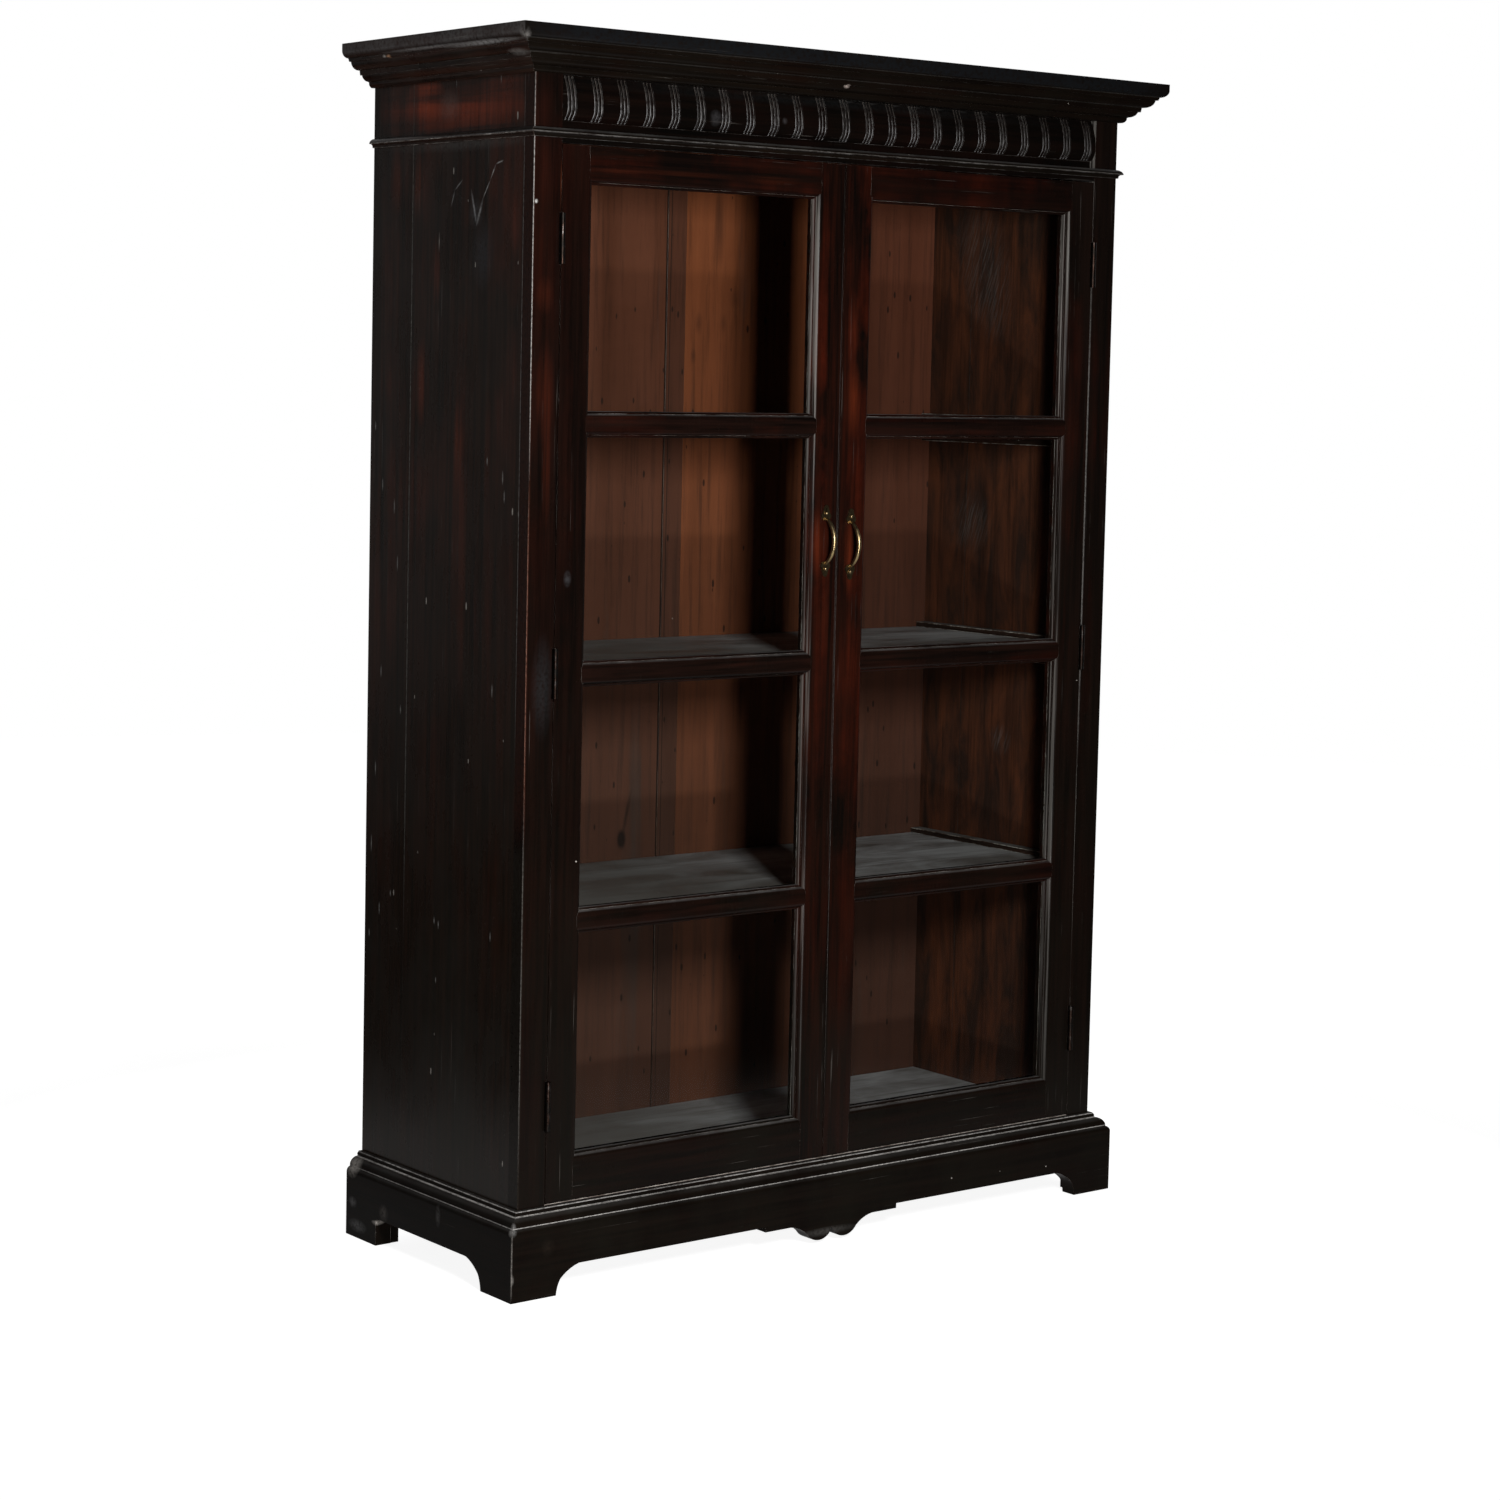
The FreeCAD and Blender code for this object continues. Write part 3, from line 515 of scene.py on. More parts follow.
def dustyShelf(name, look, polishLook):
    # greyed by dust on top, stained below, dark on the bottom board's front edge
    material, tree, surface, place = newFinish(name)
    pores = cloud(tree, place, (2.6, 80, 80), 7)
    wiped = cloud(tree, place, (5, 11, 9), 6, 0.62, 0.6)
    axes = put(tree, "SeparateXYZ", {"Vector": place}).outputs
    grey = layer(tree, spread(tree, axes["X"], -0.15, 0.15), look["dull"], look["grey"])
    forward = spread(tree, axes["Y"], -0.19, 0.10, 0.55, 1)  # browner towards the front
    cleared = product(tree, spread(tree, wiped, 0.30, 0.66), forward)
    top = layer(tree, cleared, look["brown"], grey)
    top = layer(tree, spread(tree, pores, 0.50, 0.72, 0, 0.55), top, look["brown"])
    top = layer(tree, flecks(tree, place, 60, 0.05, 0.12), top, look["mark"])
    normal = put(tree, "NewGeometry").outputs["Normal"]
    up = put(tree, "SeparateXYZ", {"Vector": normal}).outputs["Z"]
    colour = layer(tree, spread(tree, up, 0.1, 0.6), look["under"], top)
    edge = calc(tree, "LESS_THAN", axes["Y"], look["edge"])
    dark = layer(tree, spread(tree, pores, 0.35, 0.65), polishLook["dark"], polishLook["brown"])
    gloss = spread(tree, wiped, 0.3, 0.7, *look["gloss"])
    applyCoat(tree, surface, layer(tree, edge, colour, dark), gloss, look["specular"])
    relief(tree, surface, pores, *look["relief"])
    return material


pane = {
    "clear": (0.93, 0.955, 0.94),
    "filmed": (0.86, 0.875, 0.86),
    "through": (0.94, 0.96, 0.95),
    "ior": 1.10,
}


def sheetGlass(name, look):
    # old panes with a faint film; light and mirrored rays pass straight through
    material, tree, surface, place = newFinish(name)
    film = cloud(tree, place, (6, 6, 9), 6, 0.6, 0.5)
    colour = layer(tree, spread(tree, film, 0.45, 0.75), look["clear"], look["filmed"])
    tree.links.new(colour, surface.inputs["Base Color"])
    surface.inputs["Roughness"].default_value = 0
    surface.inputs["Transmission Weight"].default_value = 1
    surface.inputs["IOR"].default_value = look["ior"]
    through = put(tree, "BsdfTransparent", {"Color": look["through"]})
    path = put(tree, "LightPath").outputs
    rays = calc(tree, "MAXIMUM", path["Is Shadow Ray"], path["Is Diffuse Ray"])
    mirrored = calc(tree, "SUBTRACT", path["Is Glossy Ray"], path["Is Transmission Ray"])
    rays = calc(tree, "MAXIMUM", rays, mirrored)
    mixed = put(tree, "MixShader", {0: rays, 1: surface.outputs[0], 2: through.outputs[0]})
    tree.links.new(mixed.outputs[0], tree.nodes["Material Output"].inputs["Surface"])
    return material


brass = {
    "worn": (0.52, 0.38, 0.19),
    "aged": (0.230, 0.165, 0.085),
    "dirt": (0.022, 0.017, 0.011),
    "heldReach": (0.040, 0.012),  # up and down from the middle
    "dirtReach": (0.02, 0.042),
    "dirtShare": (0.15, 0.9),
    "gloss": (0.24, 0.46),
    "relief": (0.0005, 0.35),
}


def agedBrass(name, look, middle):
    # rubbed bright where the hand goes, dull brown on the plates
    material, tree, surface, place = newFinish(name)
    height = put(tree, "SeparateXYZ", {"Vector": place}).outputs["Z"]
    away = calc(tree, "ABSOLUTE", calc(tree, "SUBTRACT", height, middle))
    tarnish = cloud(tree, place, (190, 190, 120), 5)
    held = spread(tree, away, *look["heldReach"])
    held = product(tree, held, spread(tree, tarnish, 0.25, 0.6))
    colour = layer(tree, held, look["aged"], look["worn"])
    darkTone = spread(tree, away, *look["dirtReach"], *look["dirtShare"])
    darkTone = product(tree, darkTone, spread(tree, tarnish, 0.48, 0.70))
    colour = layer(tree, darkTone, colour, look["dirt"])
    applyMetal(tree, surface, colour, spread(tree, tarnish, 0.3, 0.7, *look["gloss"]))
    relief(tree, surface, tarnish, *look["relief"])
    return material


steel = {
    "dark": (0.010, 0.009, 0.008),
    "rust": (0.020, 0.010, 0.007),
    "worn": (0.055, 0.052, 0.050),
    "gloss": (0.5, 0.28),
    "relief": (0.0004, 0.4),
}


def hingeSteel(name, look):
    material, tree, surface, place = newFinish(name)
    patina = cloud(tree, place, (130, 130, 60), 5)
    colour = layer(tree, spread(tree, patina, 0.40, 0.60), look["dark"], look["rust"])
    colour = layer(tree, spread(tree, patina, 0.56, 0.68), colour, look["worn"])
    applyMetal(tree, surface, colour, spread(tree, patina, 0.3, 0.7, *look["gloss"]))
    relief(tree, surface, patina, *look["relief"])
    return material


softEdges = {"weld": 0.00001, "crease": math.radians(34), "segments": 2}


# welds the facets together, so that edges can be rounded and shaded as one skin
def weldedSkin(look):
    tree = bpy.data.node_groups.new("weldedSkin", "GeometryNodeTree")
    tree.interface.new_socket("Geometry", in_out="INPUT", socket_type="NodeSocketGeometry")
    tree.interface.new_socket("Geometry", in_out="OUTPUT", socket_type="NodeSocketGeometry")
    start = tree.nodes.new("NodeGroupInput")
    weld = tree.nodes.new("GeometryNodeMergeByDistance")
    weld.inputs["Distance"].default_value = look["weld"]
    normal = tree.nodes.new("GeometryNodeSetMeshNormal")
    normal.inputs["Remove Custom"].default_value = True
    angle = tree.nodes.new("GeometryNodeInputMeshEdgeAngle")
    sharp = tree.nodes.new("FunctionNodeCompare")
    sharp.operation = "GREATER_THAN"
    sharp.inputs[1].default_value = look["crease"]
    end = tree.nodes.new("NodeGroupOutput")
    tree.links.new(start.outputs[0], weld.inputs["Geometry"])
    tree.links.new(weld.outputs[0], normal.inputs["Mesh"])
    tree.links.new(angle.outputs["Unsigned Angle"], sharp.inputs[0])
    tree.links.new(sharp.outputs[0], normal.inputs["Edge Sharpness"])
    tree.links.new(normal.outputs[0], end.inputs[0])
    return tree


skin = weldedSkin(softEdges)


def dress(piece, finish, edge=None, width=0.0):
    mesh = piece.data
    mesh.materials.clear()
    mesh.materials.append(finish)
    weld = piece.modifiers.new("weldedSkin", "NODES")
    weld.node_group = skin
    if edge:
        mesh.materials.append(edge)
        bevel = piece.modifiers.new("softEdges", "BEVEL")
        bevel.width = width
        bevel.segments = softEdges["segments"]
        bevel.limit_method = "ANGLE"
        bevel.angle_limit = softEdges["crease"]
        bevel.harden_normals = True
        bevel.material = 1  # the worn edge


# edges: rubbed on the polish, faint on frieze and cornice, dull on sides, shelves and boards
edgeLooks = {
    "rubbedEdge": arris,
    "faintEdge": {
        **arris,
        "dark": (0.004, 0.0028, 0.002),
        "bare": (0.015, 0.010, 0.008),
        "pale": (0.10, 0.095, 0.09),
    },
    "sideRim": {
        **arris,
        "dark": (0.006, 0.004, 0.003),
        "bare": (0.012, 0.008, 0.006),
        "pale": (0.035, 0.028, 0.024),
    },
    "shelfRim": {
        **arris,
        "dark": (0.10, 0.075, 0.06),
        "bare": (0.20, 0.17, 0.15),
        "pale": (0.42, 0.38, 0.34),
    },
    "boardRim": {
        **arris,
        "dark": (0.02, 0.009, 0.006),
        "bare": (0.055, 0.022, 0.013),
        "pale": (0.10, 0.06, 0.04),
    },
}
edges = {name: wornArris(name, look) for name, look in edgeLooks.items()}

# points (y, z) of the scratch high on the left side
longScratch = (
    (-0.0025, 1.6922), (0.0186, 1.6774), (0.0292, 1.6518), (-0.0271, 1.6760), (-0.0431, 1.6228),
    (-0.0593, 1.6619), (-0.0787, 1.6896), (-0.0938, 1.7131), (-0.1133, 1.7176),
)

# outside of the carcass, frieze end included
sideBoards = {
    **polish,
    "dark": (0.0090, 0.0054, 0.0034),
    "brown": (0.0210, 0.0098, 0.0058),
    "red": (0.095, 0.021, 0.010),
    "redShare": 0.42,
    "bloom": (0.0165, 0.0155, 0.0122),
    "specular": 0.085,
    "nickShare": 0.7,
    "speckShare": 0.3,
    "relief": (0.0008, 0.3),
    "reds": (
        onSide((0.105, 1.815), (0.060, 0.045), 0.9, (0.34, 0.056, 0.020), flat=True),
        onSide((-0.010, 1.796), (0.200, 0.040), 0.8, (0.23, 0.041, 0.0165), flat=True),
        onSide((0.185, 1.806), (0.060, 0.045), 0.6, (0.15, 0.031, 0.0145), flat=True),
        onSide((-0.110, 1.822), (0.090, 0.034), 0.6, (0.15, 0.030, 0.0140), flat=True),
        onSide((0.122, 1.688), (0.022, 0.060), 0.7, (0.13, 0.029, 0.013)),
        onSide((0.178, 1.700), (0.030, 0.060), 0.6, (0.11, 0.025, 0.012)),
        onSide((0.069, 1.556), (0.016, 0.060), 0.7, (0.11, 0.024, 0.012)),
        onSide((0.105, 1.383), (0.024, 0.075), 0.7, (0.13, 0.029, 0.014)),
        onSide((0.000, 1.288), (0.014, 0.080), 0.7, (0.14, 0.031, 0.014)),
        onSide((-0.147, 1.620), (0.014, 0.050), 0.6, (0.10, 0.023, 0.012)),
    ),
    "marks": (
        *[onSide((y, z), (0.0020, tall), 0.9, (0.26, 0.25, 0.24)) for y, z, tall in sideNicks],
        # painted highlight: a pale soft patch of sheen on the frieze end
        onSide((0.036, 1.806), (0.034, 0.028), 0.42, (0.16, 0.110, 0.096)),
        onSide((-0.060, 1.580), (0.034, 0.060), 0.34, (0.050, 0.056, 0.066)),
        onSide((-0.040, 1.640), (0.022, 0.024), 0.32, (0.090, 0.092, 0.100)),
        onSide((0.061, 1.600), (0.0017, 0.016), 1.00, (0.30, 0.27, 0.24)),
        onSide((-0.104, 1.839), (0.0012, 0.008), 0.90, (0.22, 0.21, 0.20)),
        onSide((0.018, 1.839), (0.0012, 0.008), 0.80, (0.20, 0.19, 0.18)),
        onSide((0.1385, 1.20), (0.0013, 0.70), 0.75, (0.24, 0.23, 0.21), line=True, soft=0.6),
        onSide((-0.1690, 1.35), (0.0013, 0.55), 0.60, (0.22, 0.21, 0.20), line=True, soft=0.6),
        onSide((0.0, 1.748), (0.24, 0.014), 0.32, (0.12, 0.115, 0.11)),
        *strokes(longScratch[:3], 0.0017, 0.75, (0.30, 0.295, 0.295)),
        *strokes(longScratch[3:5], 0.0030, 0.8, (0.32, 0.315, 0.32)),
        *strokes(longScratch[4:6], 0.0034, 0.8, (0.34, 0.335, 0.335)),
        *strokes(longScratch[5:], 0.0016, 0.95, (0.42, 0.41, 0.40)),
    ),
}
sideFinish = sideWood("sidePolish", sideBoards, insideWall)

# left face stile and left door's hinge stile, with the bare corner of the carcass
leftStiles = {
    **polish,
    "redShare": 0.16,
    "speckShare": 0.25,
    "reds": (
        mark((-0.5735, -0.194, 1.375), (0.018, 0.02, 0.080), 0.40, (0.075, 0.014, 0.006)),
        mark((-0.5690, -0.194, 1.270), (0.010, 0.02, 0.110), 0.40, (0.065, 0.012, 0.005)),
        mark((-0.5761, -0.194, 1.517), (0.018, 0.02, 0.032), 0.30, (0.070, 0.014, 0.006)),
        mark((-0.5760, -0.194, 1.700), (0.020, 0.02, 0.060), 0.2, (0.045, 0.009, 0.005)),
        mark((-0.5800, -0.194, 1.800), (0.020, 0.02, 0.045), 0.2, (0.045, 0.009, 0.005)),
        mark((-0.5505, -0.194, 1.680), (0.0014, 0.02, 0.045), 0.7, (0.150, 0.036, 0.014)),
    ),
    "marks": (
        streak((-0.6, -0.183, 1.300), (0.003, 0.03, 0.62), 0.85, (0.024, 0.0080, 0.0048), 0.9),
        streak((-0.6, -0.183, 0.400), (0.003, 0.03, 0.30), 0.85, (0.014, 0.0110, 0.0082), 0.9),
        # worn front-left corner arris, with a painted highlight along it
        streak((-0.6, -0.1945, 1.560), (0.0014, 0.0014, 0.32), 0.9, (0.44, 0.42, 0.40)),
        streak((-0.6, -0.1945, 0.980), (0.0013, 0.0013, 0.26), 0.6, (0.26, 0.12, 0.085)),
        mark((-0.5271, -0.1945, 1.0925), (0.008, 0.02, 0.014), 0.35, (0.075, 0.075, 0.080)),
        mark((-0.5700, -0.1945, 0.9300), (0.022, 0.02, 0.085), 0.35, (0.028, 0.030, 0.032)),
        # worn lower part of the corner arris, with a painted highlight along it
        streak((-0.6, -0.1945, 0.480), (0.0015, 0.0015, 0.30), 0.25, (0.30, 0.28, 0.26)),
        mark((-0.5946, -0.1945, 1.6549), (0.0036, 0.01, 0.0036), 1.0, (0.60, 0.58, 0.55)),
    ),
}
leftStileFinish = polishedWood("stilePolish", leftStiles)

rightStiles = {
    **polish,
    "dark": (0.0040, 0.0028, 0.0022),
    "brown": (0.0082, 0.0046, 0.0034),
    "redShare": 0.25,
    # painted highlight on the mouldings turned to the left
    "paintedSheen": 0.34,
    "marks": (
        streak((0.5505, -0.194, 1.2), (0.0016, 0.01, 0.45), 0.5, (0.20, 0.19, 0.18)),
    ),
}
rightStileFinish = polishedWood("rightStilePolish", rightStiles)

# the two stiles that meet, reddest around the handles
meetingStiles = {
    **polish,
    "brown": (0.0135, 0.0040, 0.0024),
    "redShare": 0.9,
    # painted highlight on the mouldings turned to the left
    "paintedSheen": 0.34,
    "reds": (
        mark((-0.0400, -0.194, 1.1350), (0.016, 0.02, 0.060), 0.6, (0.105, 0.017, 0.006)),
        mark((0.0230, -0.194, 1.1200), (0.014, 0.02, 0.070), 0.7, (0.105, 0.018, 0.006)),
        mark((0.0265, -0.194, 1.3676), (0.018, 0.02, 0.070), 0.5, (0.125, 0.022, 0.007)),
        mark((0.0230, -0.194, 1.4795), (0.014, 0.02, 0.070), 0.6, (0.090, 0.015, 0.006)),
        mark((-0.0250, -0.194, 1.0100), (0.014, 0.02, 0.060), 0.4, (0.070, 0.012, 0.005)),
    ),
    "marks": (
        streak((-0.0010, -0.1945, 1.15), (0.0009, 0.0012, 0.60), 0.2, (0.24, 0.23, 0.22)),
        streak((0.0010, -0.1945, 0.75), (0.0007, 0.0010, 0.55), 0.25, (0.20, 0.19, 0.18)),
    ),
}
meetingFinish = polishedWood("meetingStilePolish", meetingStiles)

doorRails = {
    **polish,
    "grain": "x",
    "redShare": 0.35,
    "reds": (
        mark((-0.440, -0.194, 1.707), (0.060, 0.02, 0.004), 0.4, (0.060, 0.012, 0.005)),
        mark((-0.320, -0.194, 1.709), (0.120, 0.02, 0.005), 0.4, (0.065, 0.013, 0.005)),
        mark((-0.150, -0.194, 1.709), (0.070, 0.02, 0.008), 0.4, (0.075, 0.014, 0.005)),
    ),
}
railFinish = polishedWood("railPolish", doorRails)

glazingBars = {**polish, "grain": "x", "brown": (0.0108, 0.0046, 0.0033), "redShare": 0.35}
barFinish = polishedWood("barPolish", glazingBars)

friezeRail = {
    **polish,
    "grain": "x",
    "dark": (0.0021, 0.0017, 0.0014),
    "brown": (0.0044, 0.0027, 0.0020),
    "redShare": 0.06,
    "marks": (
        mark((-0.2627, -0.190, 1.798), (0.013, 0.03, 0.014), 0.35, (0.075, 0.072, 0.075)),
        mark((-0.1263, -0.190, 1.802), (0.006, 0.03, 0.006), 0.35, (0.075, 0.072, 0.075)),
        streak((0.0, -0.195, 1.836), (0.56, 0.03, 0.010), 0.30, (0.012, 0.013, 0.0135), 0.2),
    ),
}
friezeFinish = flutedWood("friezePolish", friezeRail, flutes)

# front lengths of cornice and necking
corniceFront = {
    **polish,
    "grain": "x",
    "brown": (0.0060, 0.0036, 0.0024),
    "redShare": 0.06,
    "specular": 0.06,
    "bloomTop": 9.0,
    "bloomShare": 0.7,
    "lines": ((1.7580, 0.0009, 0.35), (1.8706, 0.0006, 0.1), (1.8880, 0.0006, 0.1)),
    "marks": (
        streak((0.0, -0.2555, 1.9000), (0.70, 0.02, 0.012), 0.9, (0.0068, 0.0074, 0.0084), 0.8),
        mark((-0.022, -0.221, 1.8615), (0.007, 0.02, 0.0035), 0.9, (0.40, 0.33, 0.29)),
        mark((-0.655, -0.248, 1.880), (0.010, 0.010, 0.034), 0.6, (0.30, 0.28, 0.265)),
    ),
}
corniceFrontFinish = polishedWood("cornicePolish", corniceFront)

# side lengths, greyed and chipped
corniceSides = {
    **polish,
    "grain": "y",
    "brown": (0.030, 0.0125, 0.0080),
    "redShare": 0.4,
    "bloom": (0.046, 0.030, 0.023),
    "bloomTop": 9.0,
    "bloomShare": 0.55,
    "rubbed": (0.15, 0.145, 0.145),
    "lines": ((1.7580, 0.0014, 0.9), (1.9010, 0.0110, 0.55)),
    "scratchShare": 0.9,
    "marks": (
        mark((-0.648, 0.138, 1.8842), (0.010, 0.008, 0.0032), 1.0, (0.50, 0.27, 0.15)),
        mark((-0.648, 0.150, 1.8848), (0.010, 0.006, 0.0028), 1.0, (0.55, 0.50, 0.46)),
        mark((-0.652, -0.130, 1.8870), (0.020, 0.120, 0.0040), 0.9, (0.30, 0.29, 0.285)),
        mark((-0.655, 0.020, 1.8890), (0.020, 0.140, 0.0025), 0.7, (0.26, 0.25, 0.245)),
        mark((-0.640, -0.200, 1.8700), (0.030, 0.030, 0.0060), 0.6, (0.26, 0.245, 0.23)),
        mark((-0.655, -0.248, 1.880), (0.012, 0.012, 0.034), 0.7, (0.32, 0.30, 0.28)),
    ),
}
corniceSideFinish = polishedWood("corniceSidePolish", corniceSides)

# plinth boards and mouldings, duller, with worn lines along the moulding
plinthLook = {
    **polish,
    "brown": (0.0068, 0.0040, 0.0029),
    "redShare": 0.3,
    "dustShare": 0.12,
    "rubbed": (0.46, 0.44, 0.42),
    "specular": 0.025,
    "gloss": (0.26, 0.46),
    "bloom": (0.0076, 0.0066, 0.0046),
    "lines": ((0.1122, 0.0009, 1.0), (0.1258, 0.0008, 1.0), (0.1324, 0.0008, 0.8)),
}
plinthFront = {
    **plinthLook,
    "grain": "x",
    "marks": (
        mark((-0.562, -0.223, 0.0776), (0.014, 0.02, 0.016), 0.10, (0.060, 0.042, 0.032)),
        streak((-0.6285, -0.223, 0.060), (0.0022, 0.0022, 0.056), 0.55, (0.24, 0.22, 0.20)),
        mark((-0.6285, -0.223, 0.036), (0.006, 0.006, 0.010), 0.7, (0.26, 0.24, 0.22)),
        mark((-0.012, -0.223, 0.020), (0.070, 0.02, 0.008), 0.5, (0.085, 0.080, 0.075)),
        mark((-0.6260, -0.2200, 0.1180), (0.011, 0.011, 0.018), 0.8, (0.30, 0.29, 0.28)),
    ),
}
plinthFrontFinish = polishedWood("plinthPolish", plinthFront)
plinthSides = {
    **plinthLook,
    "grain": "y",
    "marks": (
        mark((-0.6260, -0.2200, 0.1180), (0.011, 0.011, 0.018), 0.8, (0.46, 0.44, 0.42)),
        mark((-0.6250, 0.2400, 0.1150), (0.02, 0.022, 0.022), 0.7, (0.40, 0.37, 0.34)),
        mark((-0.6285, 0.2357, 0.0560), (0.02, 0.014, 0.010), 0.45, (0.19, 0.185, 0.185)),
        mark((-0.6285, 0.1412, 0.0580), (0.02, 0.015, 0.016), 0.35, (0.17, 0.150, 0.135)),
        mark((-0.6285, -0.0183, 0.0900), (0.02, 0.008, 0.020), 0.35, (0.14, 0.132, 0.128)),
        mark((-0.6285, 0.1600, 0.0370), (0.02, 0.018, 0.005), 1.00, (0.50, 0.46, 0.42)),
        mark((-0.6150, 0.1545, 0.0180), (0.03, 0.007, 0.024), 0.85, (0.20, 0.175, 0.145)),
        mark((-0.6285, 0.2200, 0.0200), (0.02, 0.030, 0.012), 0.50, (0.18, 0.175, 0.175)),
        streak((-0.6285, -0.223, 0.060), (0.0022, 0.0022, 0.056), 0.55, (0.24, 0.22, 0.20)),
    ),
}
plinthSideFinish = polishedWood("plinthSidePolish", plinthSides)

# bearers, bottom rail and door stops
hiddenRails = {
    **polish,
    "grain": "y",
    "dark": (0.018, 0.008, 0.005),
    "brown": (0.05, 0.02, 0.012),
    "redShare": 0.2,
    "specular": 0.2,
    "gloss": (0.5, 0.7),
}
hiddenRailFinish = polishedWood("insideStain", hiddenRails)

shelfStrips = {
    **polish,
    "grain": "y",
    "dark": (0.014, 0.0085, 0.0065),
    "brown": (0.038, 0.022, 0.016),
    "bloomShare": 0.2,
    "dustShare": 0.8,
}
stripFinish = polishedWood("stripPolish", shelfStrips)

topBoard = {
    **polish,
    "grain": "x",
    "dark": (0.03, 0.016, 0.01),
    "brown": (0.075, 0.04, 0.025),
    "redShare": 0.15,
    "dustShare": 0.8,
    "gloss": (0.6, 0.8),
}
topFinish = polishedWood("topBoardBare", topBoard)
shelfFinish = dustyShelf("shelfDust", shelfBoard, polish)
glassFinish = sheetGlass("sheetGlass", pane)
hingeFinish = hingeSteel("hingeSteel", steel)
print("finishes made")


# finish, edge and edge width in metres of a piece, by its name or how that starts or ends
def coatOf(name):
    if name.startswith("side_"):
        return sideFinish, "sideRim", 0.0006
    if name in backBoards:
        return backBoard(name + "_finish", backBoards[name], backWear), "boardRim", 0.0008
    if name.startswith(("shelf_end", "shelf_cleats")):
        return stripFinish, "rubbedEdge", 0.0009
    if name.startswith("shelf_") or name == "bottom_board":
        return shelfFinish, "shelfRim", 0.0011
    if name.endswith("glass_panes"):
        return glassFinish, None, 0
    if name.endswith(("_handle", "handle_screws")):
        low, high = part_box(name)
        return agedBrass(name + "_brass", brass, (low.z + high.z) / 2), None, 0
    if "hinge" in name and not name.endswith("stile"):
        return hingeFinish, None, 0
    if name.endswith("meeting_stile"):
        return meetingFinish, "rubbedEdge", 0.0007
    if name in ("face_stile_right", "right_door_hinge_stile"):
        return rightStileFinish, "rubbedEdge", 0.0008
    if name.endswith("stile") or name.startswith("face_stile"):
        return leftStileFinish, "rubbedEdge", 0.0008
    if name == "frieze_rail":
        return friezeFinish, "faintEdge", 0.0004
    if name in ("cornice_front", "necking_front"):
        return corniceFrontFinish, "faintEdge", 0.0008
    if name.startswith(("cornice", "necking")):
        return corniceSideFinish, "rubbedEdge", 0.0008
    if name in ("plinth_front", "plinth_moulding_front"):
        return plinthFrontFinish, "rubbedEdge", 0.0010
    if name.startswith("plinth") or name == "foot_blocks":
        return plinthSideFinish, "rubbedEdge", 0.0010
    if name.endswith("glazing_bars"):
        return barFinish, "rubbedEdge", 0.0007
    if name == "top_board":
        return topFinish, "boardRim", 0.0010
    if name in ("bottom_bearers", "bottom_rail", "door_stops"):
        return hiddenRailFinish, "boardRim", 0.0008
    return railFinish, "rubbedEdge", 0.0007


for pieceName, piece in nodes.items():
    finish, edge, width = coatOf(pieceName)
    dress(piece, finish, edges.get(edge), width)
print("cabinet dressed")


# pale paper floor in a white room, seen white by the camera and through glass; gloss
# mirrors the paper around the cabinet and the wall behind it
studio = {
    "floorRadius": 7.0,
    "floorDrop": 0.0004,
    "floorColour": (0.36, 0.36, 0.36),
    "floorTooth": (0.30, 0.30, 0.30),
    "floorFar": (0.12, 0.12, 0.12),
    "floorGlow": (0.91, 1.0),
    "glowReach": (1.2, 2.4),
    "paperReach": (1.55, 1.30),
    "paperMirror": 0.5,
    "wallSide": (0.61, 0.79, 0),
    "wallSpread": (0.35, 0.65),
    "rearSide": (-0.15, 0.97, 0.2),
    "rearSpread": (-0.2, 0.6),
    "world": (0.012, 0.13),
}


def seenRays(tree, mirrored):
    path = put(tree, "LightPath").outputs
    seen = calc(tree, "MAXIMUM", path["Is Camera Ray"], path["Is Transmission Ray"])
    return calc(tree, "MAXIMUM", seen, product(tree, path["Is Glossy Ray"], mirrored))


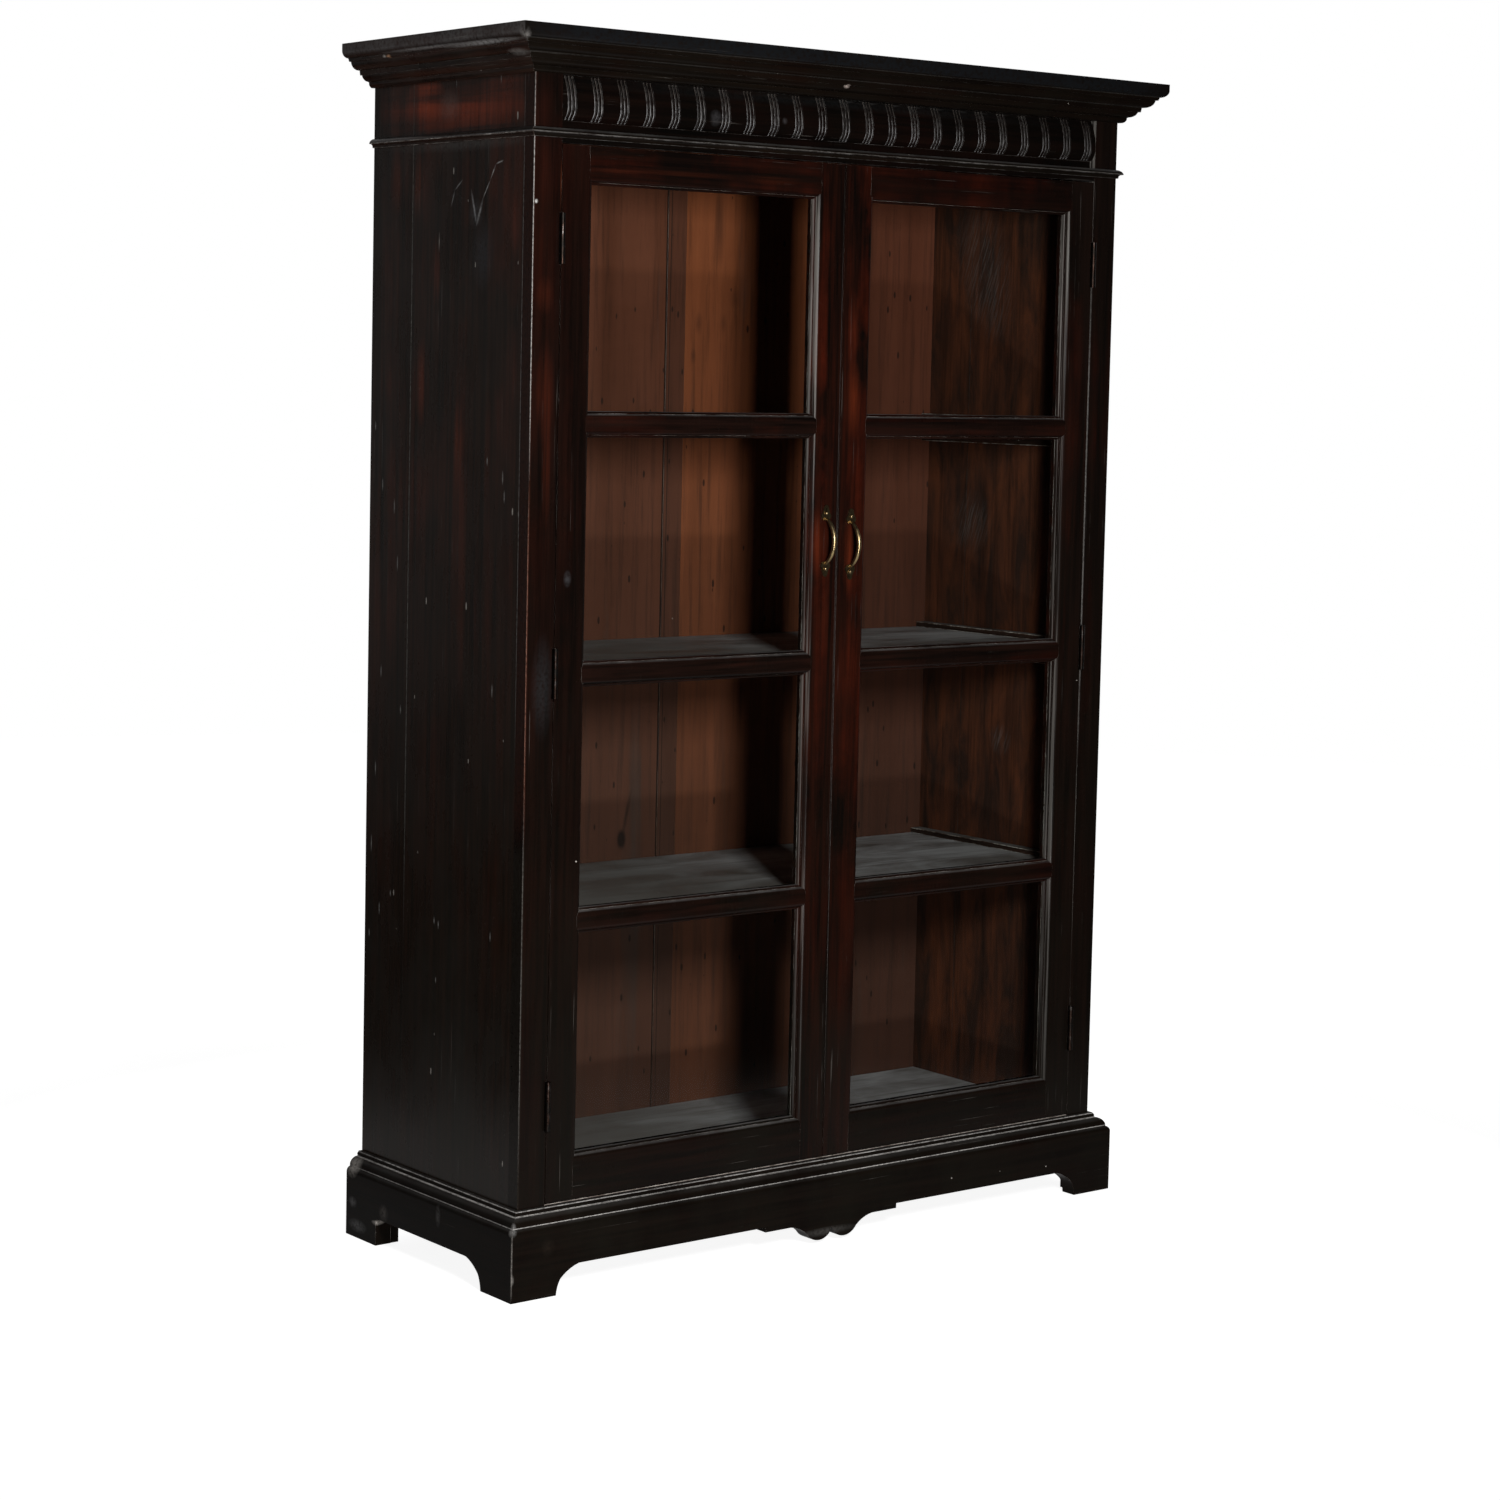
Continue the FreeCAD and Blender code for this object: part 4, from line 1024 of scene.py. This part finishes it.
def addFloor(look):
    bpy.ops.mesh.primitive_circle_add(vertices=96, radius=look["floorRadius"], fill_type="NGON")
    floor = bpy.context.object
    floor.name = "paperFloor"
    floor.location.z = -look["floorDrop"]
    material, tree, surface, place = newFinish("paperFloor")
    far = put(tree, "VectorMath", {0: place}, operation="LENGTH").outputs["Value"]
    near = spread(tree, far, *look["paperReach"])
    tooth = spread(tree, cloud(tree, place, (60, 60, 60), 4), 0.2, 0.8, 0, 0.06)
    matt = layer(tree, tooth, look["floorColour"], look["floorTooth"])
    matt = layer(tree, near, look["floorFar"], matt)
    tree.links.new(matt, surface.inputs["Base Color"])
    surface.inputs["Roughness"].default_value = 1
    surface.inputs["Specular IOR Level"].default_value = 0
    seen = seenRays(tree, product(tree, near, look["paperMirror"]))
    glow = spread(tree, far, *look["glowReach"], *look["floorGlow"])
    surface.inputs["Emission Color"].default_value = (1, 1, 1, 1)
    tree.links.new(product(tree, seen, glow), surface.inputs["Emission Strength"])
    floor.data.materials.append(material)


def addWorld(look):
    # dim room in front, a little lighter behind
    world = bpy.data.worlds.new("studio")
    scene.world = world
    world.use_nodes = True
    tree = world.node_tree
    ray = put(tree, "TexCoord").outputs["Generated"]

    def towards(side):
        made = put(tree, "VectorMath", {0: ray, 1: side}, operation="DOT_PRODUCT")
        return made.outputs["Value"]

    dim = spread(tree, towards(look["rearSide"]), *look["rearSpread"], *look["world"])
    seen = seenRays(tree, spread(tree, towards(look["wallSide"]), *look["wallSpread"]))
    background = tree.nodes["Background"]
    background.inputs["Color"].default_value = (1, 1, 1, 1)
    strength = put(tree, "Mix", {0: seen, 2: dim, 3: 1.0}).outputs[0]
    tree.links.new(strength, background.inputs["Strength"])


lamps = {
    "keyBox": {
        "place": (-1.13, -2.50, 1.58),
        "aim": (0.0, 0.1, 1.0),
        "size": (0.42, 0.46),
        "power": 66,
    },
    "lowBox": {
        "place": (-1.13, -2.50, 0.10),
        "aim": (0.0, 0.1, 1.0),
        "size": (0.18, 0.08),
        "power": 24,
    },
    "rearFill": {
        "place": (1.90, 2.70, 2.00),
        "aim": (0.1, 0.2, 0.9),
        "size": (1.40, 1.40),
        "power": 70,
    },
}


def addLamp(name, look):
    data = bpy.data.lights.new(name, "AREA")
    data.energy = look["power"]
    data.shape = "RECTANGLE"
    data.size, data.size_y = look["size"]
    lamp = bpy.data.objects.new(name, data)
    lamp.visible_camera = False
    lamp.visible_transmission = False
    lamp.location = look["place"]
    toAim = Vector(look["aim"]) - lamp.location
    lamp.rotation_euler = toAim.to_track_quat("-Z", "Y").to_euler()
    scene.collection.objects.link(lamp)


addFloor(studio)
addWorld(studio)
for lampName, lampLook in lamps.items():
    addLamp(lampName, lampLook)
print("studio lit")
